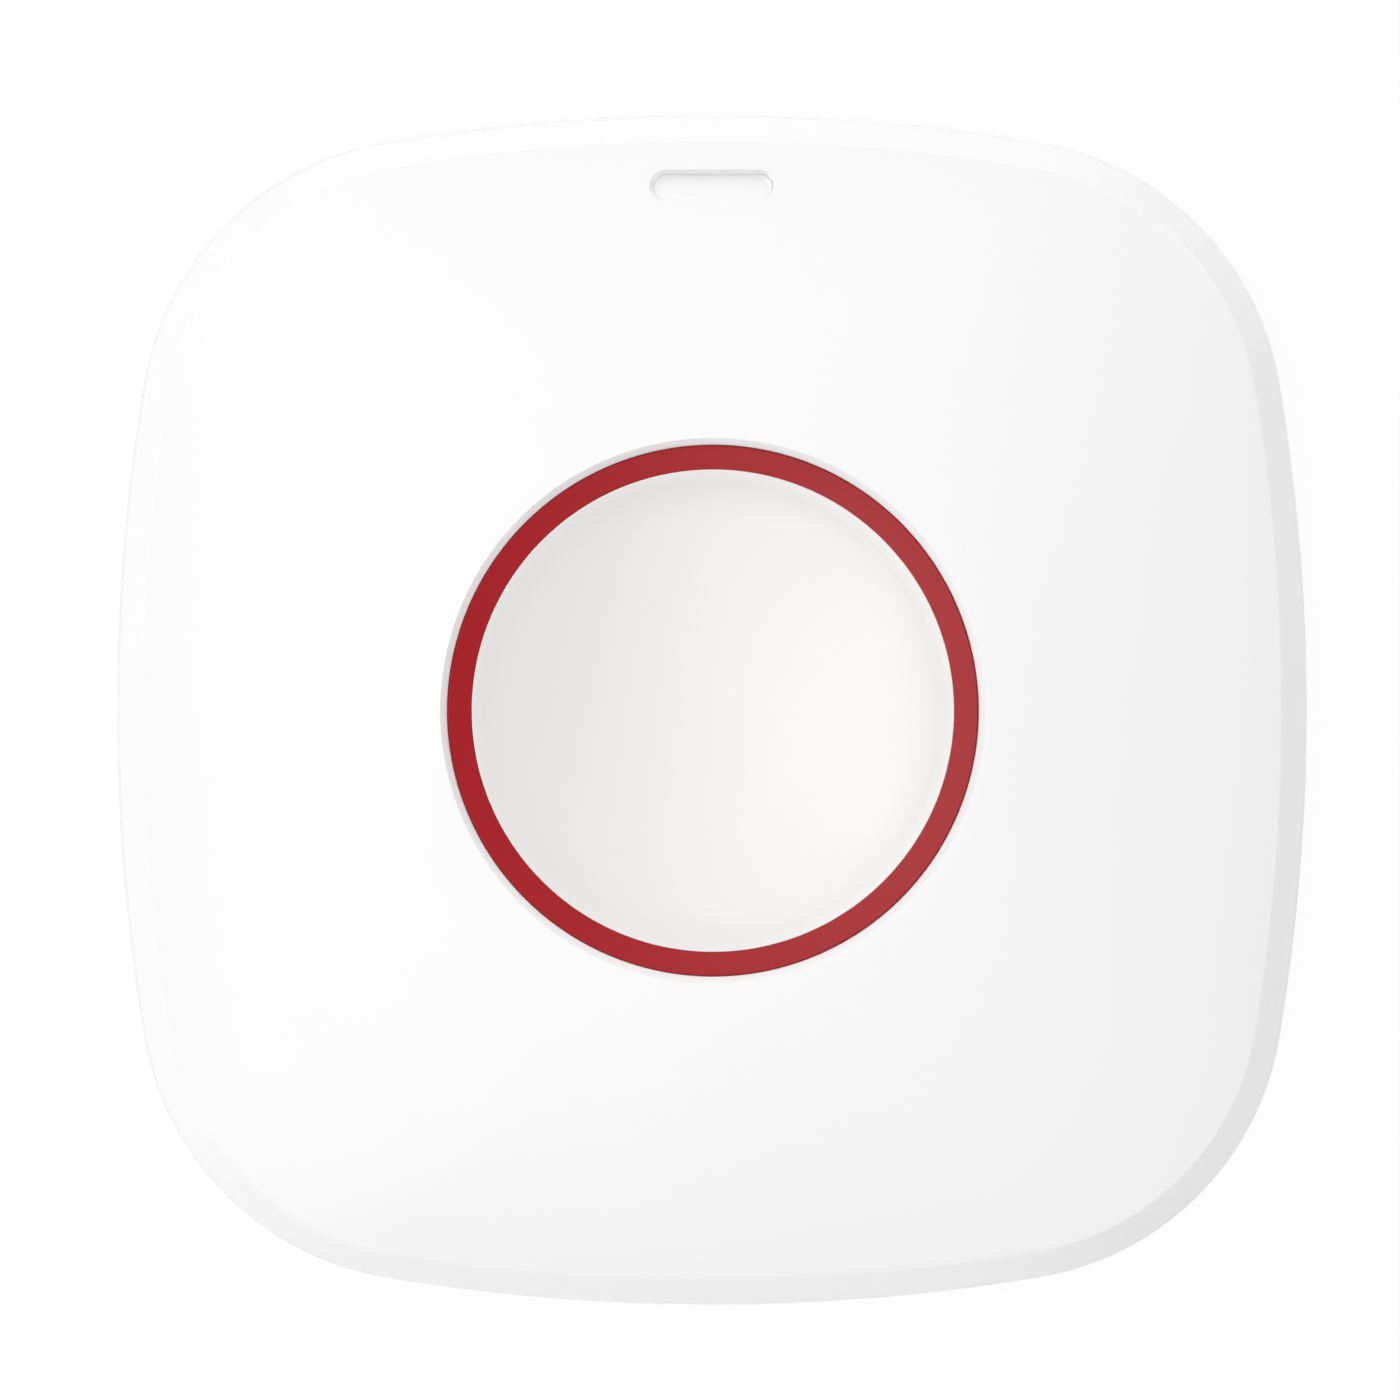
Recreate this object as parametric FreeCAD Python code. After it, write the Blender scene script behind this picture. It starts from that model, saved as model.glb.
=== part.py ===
import FreeCAD, Part
import math
import os

from FreeCAD import Vector

# Wireless panic button, lying on its back with its face up. Millimetres.
# The origin is the centre of the mounting face, +Y runs up the wall towards the indicator slot
# and +Z comes out of the face, against the way the button is pressed.

# Outline of the body: a square with bowed sides and round corners
BODY_HALF = 39.0
SIDE_RADIUS = 129.4
CORNER_RADIUS = 19.23

# Front cover
COVER_WALL = 2.0
COVER_DRAFT = 0.15
BEVEL_WIDTH = 1.65
BEVEL_HEIGHT = 2.6
FACE_DROP = 3.2
FACE_POWER = 2.6
FACE_SECTIONS = 7
WELL_LIP = 0.4
WELL_LIP_DEPTH = 0.5
WELL_TUBE_WALL = 1.6
BOSS_RIB = 1.2

# Indicator slot and its light pipe
SLOT_LENGTH = 8.3
SLOT_WIDTH = 2.2
SLOT_INSET = 4.75
SLOT_RECESS = 0.4
SLOT_BEVEL = 0.3
SLOT_PAD_RIM = 1.6
SLOT_PAD_DEPTH = 1.0
PIPE_FLANGE_RIM = 0.9
PIPE_FLANGE = 1.0
PIPE_FOOT_GAP = 0.3

# Button: ring, cap and the carrier that holds them together
RING_OUTER = 17.31
RING_INNER = 15.79
RING_HEIGHT = 5.2
CROWN_OVER_RING = 0.9
RING_FALL = 0.22
RING_EDGE = 0.15
RING_FLANGE_REACH = 1.6
RING_FLANGE = 1.1
RING_LEDGE_REACH = 1.2
RING_LEDGE = 1.8
CAP_CLEARANCE = 0.03
CAP_RIM_BELOW_RING = 0.04
CAP_DISH = 1.7
CAP_WALL = 1.8
CAP_EDGE = 0.15
CAP_RIM_WIDTH = 0.35
CARRIER_THICKNESS = 1.4
CARRIER_MARGIN = 0.4
CARRIER_RIB = 1.0
CARRIER_RIB_HEIGHT = 1.2
CARRIER_POST_RADIUS = 3.0
CARRIER_POST = 0.6
GUIDE_PIN_RADIUS = 1.0
GUIDE_CIRCLE = 12.5
GUIDE_COUNT = 3
BUTTON_TRAVEL = 0.5
BUTTON_SCREW_CIRCLE = 9.6
BUTTON_SCREW_ANGLE = 30.0
BUTTON_BOSS_RADIUS = 2.2
BUTTON_HEAD_RADIUS = 1.6
BUTTON_HEAD = 0.9
BUTTON_SHANK_RADIUS = 0.8
BUTTON_GRIP = 2.2

# Return springs
SPRING_WIRE = 0.4
SPRING_MEAN_RADIUS = 1.55
SPRING_TURNS = 3
SPRING_SEAT_DEPTH = 0.6
COIL_STEPS = 16
WIRE_SIDES = 6

# Clearances
WELL_CLEARANCE = 0.1
RUN_CLEARANCE = 0.15
DOOR_CLEARANCE = 0.25
PIN_CLEARANCE = 0.3
HOOK_CLEARANCE = 0.2
LIP_CLEARANCE = 0.15
SEAT_GAP = 0.1

# Wall bracket
BRACKET_INSET = 4.5
BRACKET_THICKNESS = 2.0
BRACKET_EDGE = 0.4
HOOK_INSET_X = 10.5
HOOK_INSET_Y = 20.5
HOOK_WIDTH = 6.0
HOOK_STEM = 2.0
HOOK_TONGUE = 4.0
HOOK_TONGUE_THICKNESS = 1.2
SLIDE_TRAVEL = 5.0
WALL_HOLE_SPACING = 50.0
WALL_HOLE_RADIUS = 2.1
WALL_SINK_RADIUS = 3.8
WALL_SINK_DEPTH = 1.5

# Tamper plunger and switch
TAMPER_INSET = 8.0
TAMPER_RADIUS = 1.3
TAMPER_TIP_RADIUS = 0.7
TAMPER_TIP_HEIGHT = 0.5
TAMPER_TRAVEL = 1.0
TAMPER_BODY = 6.0
TAMPER_HEAD_RADIUS = 2.0
TAMPER_HEAD = 0.8
TAMPER_WALL = 0.5
RAMP_WIDTH = 3.4

# Rear cover
REAR_INSET = 0.5
REAR_FLOOR = 1.6
REAR_EDGE = 0.4
REAR_LIP = 1.2
REAR_LIP_HEIGHT = 1.6
REAR_RIB = 1.0
REAR_RIB_HEIGHT = 1.0
REAR_RIB_TO_HOOK = 5.4

# Case screws, from behind into the bosses of the front cover
CASE_BOSS_INSET = 6.85
CASE_BOSS_RADIUS = 3.0
CASE_PAD_RADIUS = 4.0
CASE_PAD_HEIGHT = 1.6
CASE_HEAD_RADIUS = 1.9
CASE_HEAD = 1.3
CASE_HEAD_CLEARANCE = 0.3
CASE_SINK_DEPTH = 1.8
CASE_SHANK_RADIUS = 0.95
CASE_SHANK = 9.0
SHANK_CLEARANCE = 0.2
PILOT_SPARE = 0.6

# Board screws, which hold the circuit board and the button frame under the front cover
BOARD_BOSS_RADIUS = 2.6
BOARD_HEAD_RADIUS = 1.7
BOARD_HEAD = 1.0
BOARD_SHANK_RADIUS = 0.9
BOARD_GRIP = 4.0

# Form of every screw, as shares of its head and shank
HEAD_EDGE_SHARE = 0.3
TIP_SHARE = 0.4
CROSS_SPAN_SHARE = 1.2
CROSS_BAR_SHARE = 0.3
CROSS_DEPTH_SHARE = 0.5

# Battery door, a disc that turns in the rear cover on three lugs
DOOR_Y = -7.0
DOOR_RADIUS = 14.75
DOOR_FLOOR = 1.5
DOOR_EDGE = 0.25
DOOR_SPIGOT_RADIUS = 13.2
DOOR_SPIGOT_WALL = 0.6
LUG_REACH = 1.4
LUG_HEIGHT = 1.0
LUG_ANGLE = 24.0
LUG_COUNT = 3
LUG_SPARE_ANGLE = 3.0
DOOR_TURN = 40.0
LEDGE_THICKNESS = 1.0
LEDGE_GAP = 0.2
COLLAR_WALL = 1.6
COLLAR_OVER_LUGS = 0.2
COIN_SLOT_LENGTH = 16.0
COIN_SLOT_WIDTH = 2.0
COIN_SLOT_DEPTH = 0.9

# Coin cell with its holder and contacts
CELL_RADIUS = 12.25
CELL_HEIGHT = 5.0
CELL_CAP_RADIUS = 10.9
CELL_CAP = 0.35
CELL_EDGE = 0.5
CELL_SIDE_GAP = 0.35
HOLDER_WALL = 1.8
HOLDER_GATE = 7.0
CONTACT_THICKNESS = 0.25
CONTACT_GAP = 0.6
CONTACT_WIDTH = 4.0
CONTACT_LENGTH = 13.0
CONTACT_FOOT = 2.2
CONTACT_RELIEF = 0.1

# Circuit board and what is soldered on it
BOARD_INSET = 3.6
BOARD_THICKNESS = 1.2
BOARD_NOTCH_GAP = 0.5
SWITCH_SIZE = 12.0
SWITCH_HEIGHT = 3.0
SWITCH_FLOOR = 0.6
SWITCH_PLATE = 0.3
STEM_RADIUS = 3.3
STEM_COLLAR = 0.9
STEM_PROUD = 0.7
LED_LENGTH = 3.2
LED_WIDTH = 1.6
LED_HEIGHT = 1.1
LED_LENS_LENGTH = 2.0
LED_LENS_WIDTH = 1.4
ANTENNA_RADIUS = 1.9
ANTENNA_WIRE = 0.6
ANTENNA_TURNS = 7
ANTENNA_LENGTH = 18.0
ANTENNA_CLEAR = 0.7
ANTENNA_LEG_SHARE = 0.55
RADIO_WIDTH = 10.0
RADIO_LENGTH = 16.0
RADIO_BOARD = 0.8
SHIELD_WIDTH = 8.4
SHIELD_LENGTH = 11.0
SHIELD_HEIGHT = 2.0
SHIELD_WALL = 0.3
CHIP_X = 15.0
CHIP_SIZE = 7.0
CHIP_HEIGHT = 0.95
CRYSTAL_X = -14.5
CRYSTAL_LENGTH = 10.8
CRYSTAL_WIDTH = 4.4
CRYSTAL_HEIGHT = 3.4
CAPACITOR_X = 14.5
CAPACITOR_RADIUS = 3.1
CAPACITOR_HEIGHT = 5.0
CAPACITOR_FOOT_CORNER = 0.5
PART_LENGTH = 2.0
PART_WIDTH = 1.25
PART_HEIGHT = 0.6
PART_STEP = 4.0
PART_ROW_X = -4.0
PART_ROW_COUNT = 5
RADIO_PARTS_AT = 11.0
RADIO_PARTS_STEP = 3.0
RADIO_PARTS_COUNT = 3
ANTENNA_PARTS_AT = 13.0

# Button frame, the plate between the board and the button
FRAME_MARGIN = 3.0
FRAME_CORNER = 3.2
FRAME_THICKNESS = 1.4
FRAME_ABOVE_BOARD = 0.8
FRAME_WINDOW_GAP = 0.7
FRAME_COLLAR_WALL = 1.2
FRAME_COLLAR_GAP = 0.9
FRAME_COLLAR_HEIGHT = 2.6

# Levels, from the wall outwards. The crown is the top that the dome would have without the well.
# The well's lip tops the stack, 22 mm above the wall, and the ring lies a little lower.
rear_z = BRACKET_THICKNESS
rear_floor_z = rear_z + REAR_FLOOR
case_pad_z = rear_floor_z + CASE_PAD_HEIGHT
door_floor_z = rear_z + DOOR_FLOOR
ledge_z = door_floor_z + LEDGE_THICKNESS
lug_z = ledge_z + LEDGE_GAP
lug_top_z = lug_z + LUG_HEIGHT
holder_z = lug_top_z + PIN_CLEARANCE
cell_z = door_floor_z + SEAT_GAP
cell_top_z = cell_z + CELL_HEIGHT
board_z = cell_top_z + CONTACT_GAP
board_top_z = board_z + BOARD_THICKNESS
frame_z = board_top_z + FRAME_ABOVE_BOARD
frame_top_z = frame_z + FRAME_THICKNESS
switch_top_z = board_top_z + SWITCH_HEIGHT
stem_top_z = switch_top_z + SWITCH_PLATE + STEM_PROUD
carrier_z = stem_top_z + CARRIER_POST
carrier_top_z = carrier_z + CARRIER_THICKNESS
flange_top_z = carrier_top_z + RING_FLANGE
well_bottom_z = flange_top_z + SEAT_GAP
ring_top_z = carrier_top_z + RING_HEIGHT
crown_z = ring_top_z + CROWN_OVER_RING
rim_z = crown_z - FACE_DROP
shoulder_z = rim_z - BEVEL_HEIGHT
cap_rim_z = ring_top_z - RING_FALL - CAP_RIM_BELOW_RING
cap_bottom_z = cap_rim_z - CAP_DISH

# Radii and insets that follow from the sizes above
rim_inset = COVER_DRAFT + BEVEL_WIDTH
rim_half = BODY_HALF - rim_inset
board_half = BODY_HALF - BOARD_INSET
bracket_half = BODY_HALF - BRACKET_INSET
slot_y = BODY_HALF - SLOT_INSET
hook_x = bracket_half - HOOK_INSET_X
hook_y = bracket_half - HOOK_INSET_Y
rear_rib_x = hook_x - REAR_RIB_TO_HOOK
tamper_y = bracket_half - TAMPER_INSET
well_radius = RING_OUTER + WELL_CLEARANCE
tube_radius = well_radius + WELL_TUBE_WALL
cap_radius = RING_INNER - CAP_CLEARANCE
dish_radius = cap_radius - CAP_RIM_WIDTH
flange_radius = RING_OUTER + RING_FLANGE_REACH
carrier_radius = flange_radius - CARRIER_MARGIN
frame_collar_inner = flange_radius + FRAME_COLLAR_GAP
frame_collar_outer = frame_collar_inner + FRAME_COLLAR_WALL
ledge_radius = DOOR_SPIGOT_RADIUS + DOOR_CLEARANCE
door_well_radius = DOOR_RADIUS + DOOR_CLEARANCE
collar_radius = door_well_radius + COLLAR_WALL
lug_radius = DOOR_SPIGOT_RADIUS + LUG_REACH
holder_inner = CELL_RADIUS + CELL_SIDE_GAP


def side_half_angle():
    """Half the turn of a bowed side, at which it meets the corner arc with one tangent."""
    across = BODY_HALF - SIDE_RADIUS
    span = SIDE_RADIUS - CORNER_RADIUS
    corner_centre = (across + math.sqrt(2 * span**2 - across**2)) / 2
    return math.asin(corner_centre / span)


side_turn = side_half_angle()


def corner_place(distance):
    """Where the body's outline, moved inwards by a distance, crosses the diagonal, along X and Y."""
    corner_centre = (SIDE_RADIUS - CORNER_RADIUS) * math.sin(side_turn)
    return corner_centre + (CORNER_RADIUS - distance) / math.sqrt(2)


# The case bosses stand in the corners, the board bosses midway between them and the button, and
# the parts on the board along the middle of the strip that the button frame leaves free.
case_boss_at = corner_place(CASE_BOSS_INSET)
board_boss_at = (case_boss_at + (frame_collar_outer - CASE_BOSS_RADIUS) / math.sqrt(2)) / 2
frame_half = board_boss_at + FRAME_MARGIN
strip = (frame_half + board_half) / 2


def polar(centre, radius, angle):
    """A point on a circle, angle in radians."""
    return centre + Vector(radius * math.cos(angle), radius * math.sin(angle), 0)


def arc(centre, radius, start, end):
    """Edge of a circle from one angle to another."""
    middle = (start + end) / 2
    points = [polar(centre, radius, angle) for angle in (start, middle, end)]
    return Part.Arc(*points).toShape()


def outline(half, corner, z):
    """Bowed square of tangent arcs, a circle where the half width is the corner radius."""
    reach = (half - corner) / (1 + math.sin(side_turn) - math.cos(side_turn))
    side = corner + reach
    offset = reach * math.sin(side_turn) * math.sqrt(2)
    centre = Vector(0, 0, z)
    edges = []
    for quarter in range(4):
        turn = quarter * math.pi / 2
        next_turn = turn + math.pi / 2
        side_centre = polar(centre, half - side, turn)
        corner_centre = polar(centre, offset, turn + math.pi / 4)
        next_centre = polar(centre, half - side, next_turn)
        edges.append(arc(side_centre, side, turn, turn + side_turn))
        edges.append(arc(corner_centre, corner, turn + side_turn, next_turn - side_turn))
        edges.append(arc(next_centre, side, next_turn - side_turn, next_turn))
    return Part.Wire(edges)


def inset(distance, z):
    """The body's outline moved inwards by a distance."""
    return outline(BODY_HALF - distance, CORNER_RADIUS - distance, z)


def prism(wire, height):
    """Solid over a flat wire."""
    return Part.Face(wire).extrude(Vector(0, 0, height))


def plate(distance, bottom, top):
    """Plate with the body's outline moved inwards."""
    return prism(inset(distance, bottom), top - bottom)


def edged_plate(distance, bottom, top, edge):
    """Plate with the body's outline moved inwards and its lower edge chamfered."""
    wires = [inset(distance + edge, bottom), inset(distance, bottom + edge)]
    return Part.makeLoft(wires, True, True).fuse(plate(distance, bottom + edge, top))


def cylinder(radius, bottom, top, x=0.0, y=0.0):
    """Upright cylinder between two levels."""
    return Part.makeCylinder(radius, top - bottom, Vector(x, y, bottom))


def tube(outer, inner, bottom, top, x=0.0, y=0.0):
    """Upright tube between two levels."""
    return cylinder(outer, bottom, top, x, y).cut(cylinder(inner, bottom, top, x, y))


def block(x, y, width, length, bottom, top):
    """Upright block centred on a point."""
    corner = Vector(x - width / 2, y - length / 2, bottom)
    return Part.makeBox(width, length, top - bottom, corner)


def rounded_block(x, y, width, length, radius, bottom, top):
    """Upright block with rounded corners."""
    solid = block(x, y, width, length, bottom, top)
    return solid.makeFillet(radius, [e for e in solid.Edges if is_upright(e)])


def is_upright(edge):
    """Whether an edge runs along Z."""
    start, end = edge.Vertexes[0].Point, edge.Vertexes[-1].Point
    return math.hypot(end.x - start.x, end.y - start.y) < 1e-6 and abs(end.z - start.z) > 1e-6


def stadium(x, y, length, width, bottom, top):
    """Upright prism with round ends, long in X."""
    run = (length - width) / 2
    right = cylinder(width / 2, bottom, top, x + run, y)
    left = cylinder(width / 2, bottom, top, x - run, y)
    return block(x, y, 2 * run, width, bottom, top).fuse([left, right]).removeSplitter()


def sector(outer, angle, width, bottom, top):
    """Wedge of a cylinder about Z, centred on an angle, angles in degrees."""
    start = Vector(0, 0, bottom)
    solid = Part.makeCylinder(outer, top - bottom, start, Vector(0, 0, 1), width)
    solid.rotate(Vector(0, 0, 0), Vector(0, 0, 1), angle - width / 2)
    return solid


def around(count, radius, first_angle, y=0.0):
    """Points at equal steps on a circle, angle in degrees."""
    angles = [math.radians(first_angle + 360 / count * index) for index in range(count)]
    return [polar(Vector(0, y, 0), radius, angle) for angle in angles]


def corners(reach_x, reach_y):
    """The four points at plus and minus a reach."""
    return [(side * reach_x, end * reach_y) for side in (-1, 1) for end in (-1, 1)]


def turned(start, *steps):
    """Solid of revolution about Z. A step is a line's end, or an arc's middle and end, each as
    radius and level."""
    edges = []
    here = Vector(start[0], 0, start[1])
    for step in steps + (start,):
        if isinstance(step[0], tuple):
            middle, end = (Vector(r, 0, z) for r, z in step)
            edges.append(Part.Arc(here, middle, end).toShape())
        else:
            end = Vector(step[0], 0, step[1])
            edges.append(Part.LineSegment(here, end).toShape())
        here = end
    face = Part.Face(Part.Wire(edges))
    return face.revolve(Vector(0, 0, 0), Vector(0, 0, 1), 360)


def screw(x, y, head_z, head, head_radius, shank_radius, shank):
    """Pan head screw that points up, with a cross recess in its head."""
    stem_z = head_z + head
    tip_z = stem_z + shank - shank_radius
    edge = head * HEAD_EDGE_SHARE
    solid = turned(
        (0, head_z),
        (head_radius - edge, head_z),
        (head_radius, head_z + edge),
        (head_radius, stem_z),
        (shank_radius, stem_z),
        (shank_radius, tip_z),
        (shank_radius * TIP_SHARE, stem_z + shank),
        (0, stem_z + shank),
    )
    span = head_radius * CROSS_SPAN_SHARE
    bar = span * CROSS_BAR_SHARE
    cross_top_z = head_z + head * CROSS_DEPTH_SHARE
    bars = [block(0, 0, span, bar, head_z, cross_top_z), block(0, 0, bar, span, head_z, cross_top_z)]
    solid = solid.cut(bars)
    solid.translate(Vector(x, y, 0))
    return solid


def coil(mean_radius, wire, turns, length):
    """Helical spring that stands on the origin, its six-sided wire inside the length."""
    steps = turns * COIL_STEPS
    sections = []
    for index in range(steps + 1):
        angle = 2 * math.pi * index / COIL_STEPS
        level = wire / 2 + (length - wire) * index / steps
        points = []
        for side in range(WIRE_SIDES):
            around_wire = 2 * math.pi * (side + 0.5) / WIRE_SIDES
            radius = mean_radius + wire / 2 * math.cos(around_wire)
            height = level + wire / 2 * math.sin(around_wire)
            points.append(polar(Vector(0, 0, height), radius, angle))
        sections.append(Part.makePolygon(points + points[:1]))
    return Part.makeLoft(sections, True, True)


def face_height(half):
    """Level of the face where its section has a given half width."""
    return crown_z - FACE_DROP * (half / rim_half) ** FACE_POWER


def pillow(edge_inset, below, ruled):
    """The domed face: sections that grow from the round well to the body's outline."""
    start = well_radius - WELL_LIP
    half_end = BODY_HALF - edge_inset
    corner_end = CORNER_RADIUS - edge_inset
    sections = []
    for index in range(FACE_SECTIONS):
        share = index / (FACE_SECTIONS - 1)
        half = start + (half_end - start) * share
        corner = start + (corner_end - start) * share
        level = crown_z - below - FACE_DROP * (half / half_end) ** FACE_POWER
        sections.append(outline(half, corner, level))
    return Part.makeLoft(sections, True, ruled)


def cover_form(side_inset, shoulder, edge_inset, below, ruled):
    """Closed form of the cover: drafted sides, bevel and domed face."""
    foot = inset(side_inset, rear_floor_z)
    turn = inset(side_inset + COVER_DRAFT, shoulder)
    rim = inset(edge_inset, rim_z - below)
    sides = Part.makeLoft([foot, turn, rim], True, True)
    return sides.fuse(pillow(edge_inset, below, ruled))


def inner_bevel():
    """Level at which the cover's inner bevel starts, and the inset at which it ends."""
    length = math.hypot(BEVEL_WIDTH, BEVEL_HEIGHT)
    across, up = BEVEL_WIDTH / length, BEVEL_HEIGHT / length
    foot_inset = COVER_DRAFT + COVER_WALL * up
    foot_z = shoulder_z - COVER_WALL * across
    start_z = foot_z + (COVER_WALL + COVER_DRAFT - foot_inset) * up / across
    end_inset = foot_inset + (rim_z - COVER_WALL - foot_z) * across / up
    return start_z, end_inset


def slot_pad_z():
    """Level of the flat pad under the indicator slot."""
    return face_height(slot_y + SLOT_WIDTH / 2) - COVER_WALL - SLOT_PAD_DEPTH


def slot_wire(grow, rise):
    """The slot's outline, grown by a distance, on a plane above and parallel to the face there."""
    slope = FACE_DROP * FACE_POWER / rim_half * (slot_y / rim_half) ** (FACE_POWER - 1)
    upright = Vector(0, slope, 1).normalize()
    length = SLOT_LENGTH + 2 * grow
    prism = stadium(0, slot_y, length, SLOT_WIDTH + 2 * grow, slot_pad_z(), crown_z + rise)
    on_face = Vector(0, slot_y, face_height(slot_y) + rise)
    return prism.slice(upright, on_face.dot(upright))[0]


def slot_window():
    """Length and width of the slot below its bevel."""
    return SLOT_LENGTH - 2 * SLOT_BEVEL, SLOT_WIDTH - 2 * SLOT_BEVEL


def slot_bevel():
    """Room above the light pipe, which widens towards the face."""
    floor = slot_wire(-SLOT_BEVEL, -SLOT_RECESS)
    above = slot_wire(SLOT_BEVEL, SLOT_RECESS)
    return Part.makeLoft([floor, above], True, True)


def lip_cone():
    """Chamfer that leads from the face into the well."""
    lip_z = face_height(well_radius + WELL_LIP)
    over = WELL_LIP_DEPTH
    top_radius = well_radius + WELL_LIP * (WELL_LIP_DEPTH + over) / WELL_LIP_DEPTH
    start = Vector(0, 0, lip_z - WELL_LIP_DEPTH)
    return Part.makeCone(well_radius, top_radius, WELL_LIP_DEPTH + over, start)


def corner_rib(x, y):
    """Rib from a case boss to the corner wall behind it."""
    rib = block(CORNER_RADIUS / 2, 0, CORNER_RADIUS, BOSS_RIB, case_pad_z + BOSS_RIB, crown_z)
    rib.rotate(Vector(0, 0, 0), Vector(0, 0, 1), math.degrees(math.atan2(y, x)))
    rib.translate(Vector(x, y, 0))
    return rib


def front_cover():
    """Front shell with the button's well, the indicator slot and the screw bosses."""
    outer = cover_form(0.0, shoulder_z, rim_inset, 0.0, False)
    inner_shoulder, inner_rim = inner_bevel()
    inner = cover_form(COVER_WALL, inner_shoulder, inner_rim, COVER_WALL, True)
    posts = [cylinder(tube_radius, well_bottom_z, crown_z)]
    pad_length = SLOT_LENGTH + 2 * SLOT_PAD_RIM
    pad_width = SLOT_WIDTH + 2 * SLOT_PAD_RIM
    posts.append(stadium(0, slot_y, pad_length, pad_width, slot_pad_z(), crown_z))
    holes = [cylinder(well_radius, rear_floor_z, crown_z), lip_cone()]
    window_length, window_width = slot_window()
    holes.append(stadium(0, slot_y, window_length, window_width, rear_floor_z, crown_z))
    holes.append(slot_bevel())
    case_pilot_z = rear_z + CASE_SINK_DEPTH + CASE_SHANK + PILOT_SPARE
    for x, y in corners(case_boss_at, case_boss_at):
        posts.append(cylinder(CASE_BOSS_RADIUS, case_pad_z, crown_z, x, y))
        posts.append(corner_rib(x, y))
        holes.append(cylinder(CASE_SHANK_RADIUS, case_pad_z, case_pilot_z, x, y))
    board_pilot_z = frame_top_z + BOARD_GRIP + PILOT_SPARE
    for x, y in corners(board_boss_at, board_boss_at):
        posts.append(cylinder(BOARD_BOSS_RADIUS, frame_top_z, crown_z, x, y))
        holes.append(cylinder(BOARD_SHANK_RADIUS, frame_top_z, board_pilot_z, x, y))
    shell = outer.cut(inner).fuse([post.common(outer) for post in posts])
    return shell.cut(holes)


def light_pipe():
    """Clear pipe that fills the slot, with a flange under the cover and a foot over the indicator."""
    pad_z = slot_pad_z()
    flange_z = pad_z - PIPE_FLANGE
    flange_length = SLOT_LENGTH + 2 * PIPE_FLANGE_RIM
    flange_width = SLOT_WIDTH + 2 * PIPE_FLANGE_RIM
    foot_length = LED_LENGTH + SLOT_WIDTH
    foot_z = board_top_z + LED_HEIGHT + PIPE_FOOT_GAP
    window = stadium(0, slot_y, *slot_window(), pad_z, crown_z)
    window = window.cut(prism(slot_wire(0, -SLOT_RECESS), crown_z))
    flange = stadium(0, slot_y, flange_length, flange_width, flange_z, pad_z)
    foot = stadium(0, slot_y, foot_length, SLOT_WIDTH, foot_z, flange_z)
    return window.fuse([flange, foot])


def button_ring():
    """Coloured ring: rounded shoulder, top that falls towards the cap, flange and inner ledge."""
    ledge_inner = RING_INNER - RING_LEDGE_REACH
    ledge_top_z = carrier_top_z + RING_LEDGE
    return turned(
        (ledge_inner, carrier_top_z),
        (flange_radius, carrier_top_z),
        (flange_radius, flange_top_z),
        (RING_OUTER, flange_top_z),
        (RING_OUTER, ring_top_z - RING_EDGE),
        (RING_OUTER - RING_EDGE, ring_top_z),
        (RING_INNER, ring_top_z - RING_FALL),
        (RING_INNER, ledge_top_z),
        (ledge_inner, ledge_top_z),
    )


def dish_z(radius):
    """Level of the cap's spherical dish at a radius."""
    sphere = (dish_radius**2 + CAP_DISH**2) / (2 * CAP_DISH)
    return cap_bottom_z + sphere - math.sqrt(sphere**2 - radius**2)


def button_screw_points():
    """Where the screws join the carrier and the cap."""
    return around(GUIDE_COUNT, BUTTON_SCREW_CIRCLE, BUTTON_SCREW_ANGLE)


def guide_points():
    """Where the guide pins and their return springs stand."""
    return around(GUIDE_COUNT, GUIDE_CIRCLE, 90.0)


def button_cap():
    """Dished cap with a skirt that stands on the ring's ledge, and bosses for the screws."""
    skirt_z = carrier_top_z + RING_LEDGE
    skirt_inner = cap_radius - CAP_WALL
    half_dish = dish_radius / 2
    under_z = cap_bottom_z - CAP_WALL
    solid = turned(
        (0, under_z),
        (skirt_inner / 2, under_z),
        (skirt_inner, dish_z(skirt_inner) - CAP_WALL),
        (skirt_inner, skirt_z),
        (cap_radius, skirt_z),
        (cap_radius, cap_rim_z - CAP_EDGE),
        (cap_radius - CAP_EDGE, cap_rim_z),
        (dish_radius, cap_rim_z),
        ((half_dish, dish_z(half_dish)), (0, cap_bottom_z)),
    )
    bosses = []
    pilots = []
    pilot_z = carrier_top_z + BUTTON_GRIP + PILOT_SPARE
    for point in button_screw_points():
        bosses.append(cylinder(BUTTON_BOSS_RADIUS, carrier_top_z, cap_bottom_z, point.x, point.y))
        pilots.append(cylinder(BUTTON_SHANK_RADIUS, carrier_top_z, pilot_z, point.x, point.y))
    return solid.fuse(bosses).cut(pilots)


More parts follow.
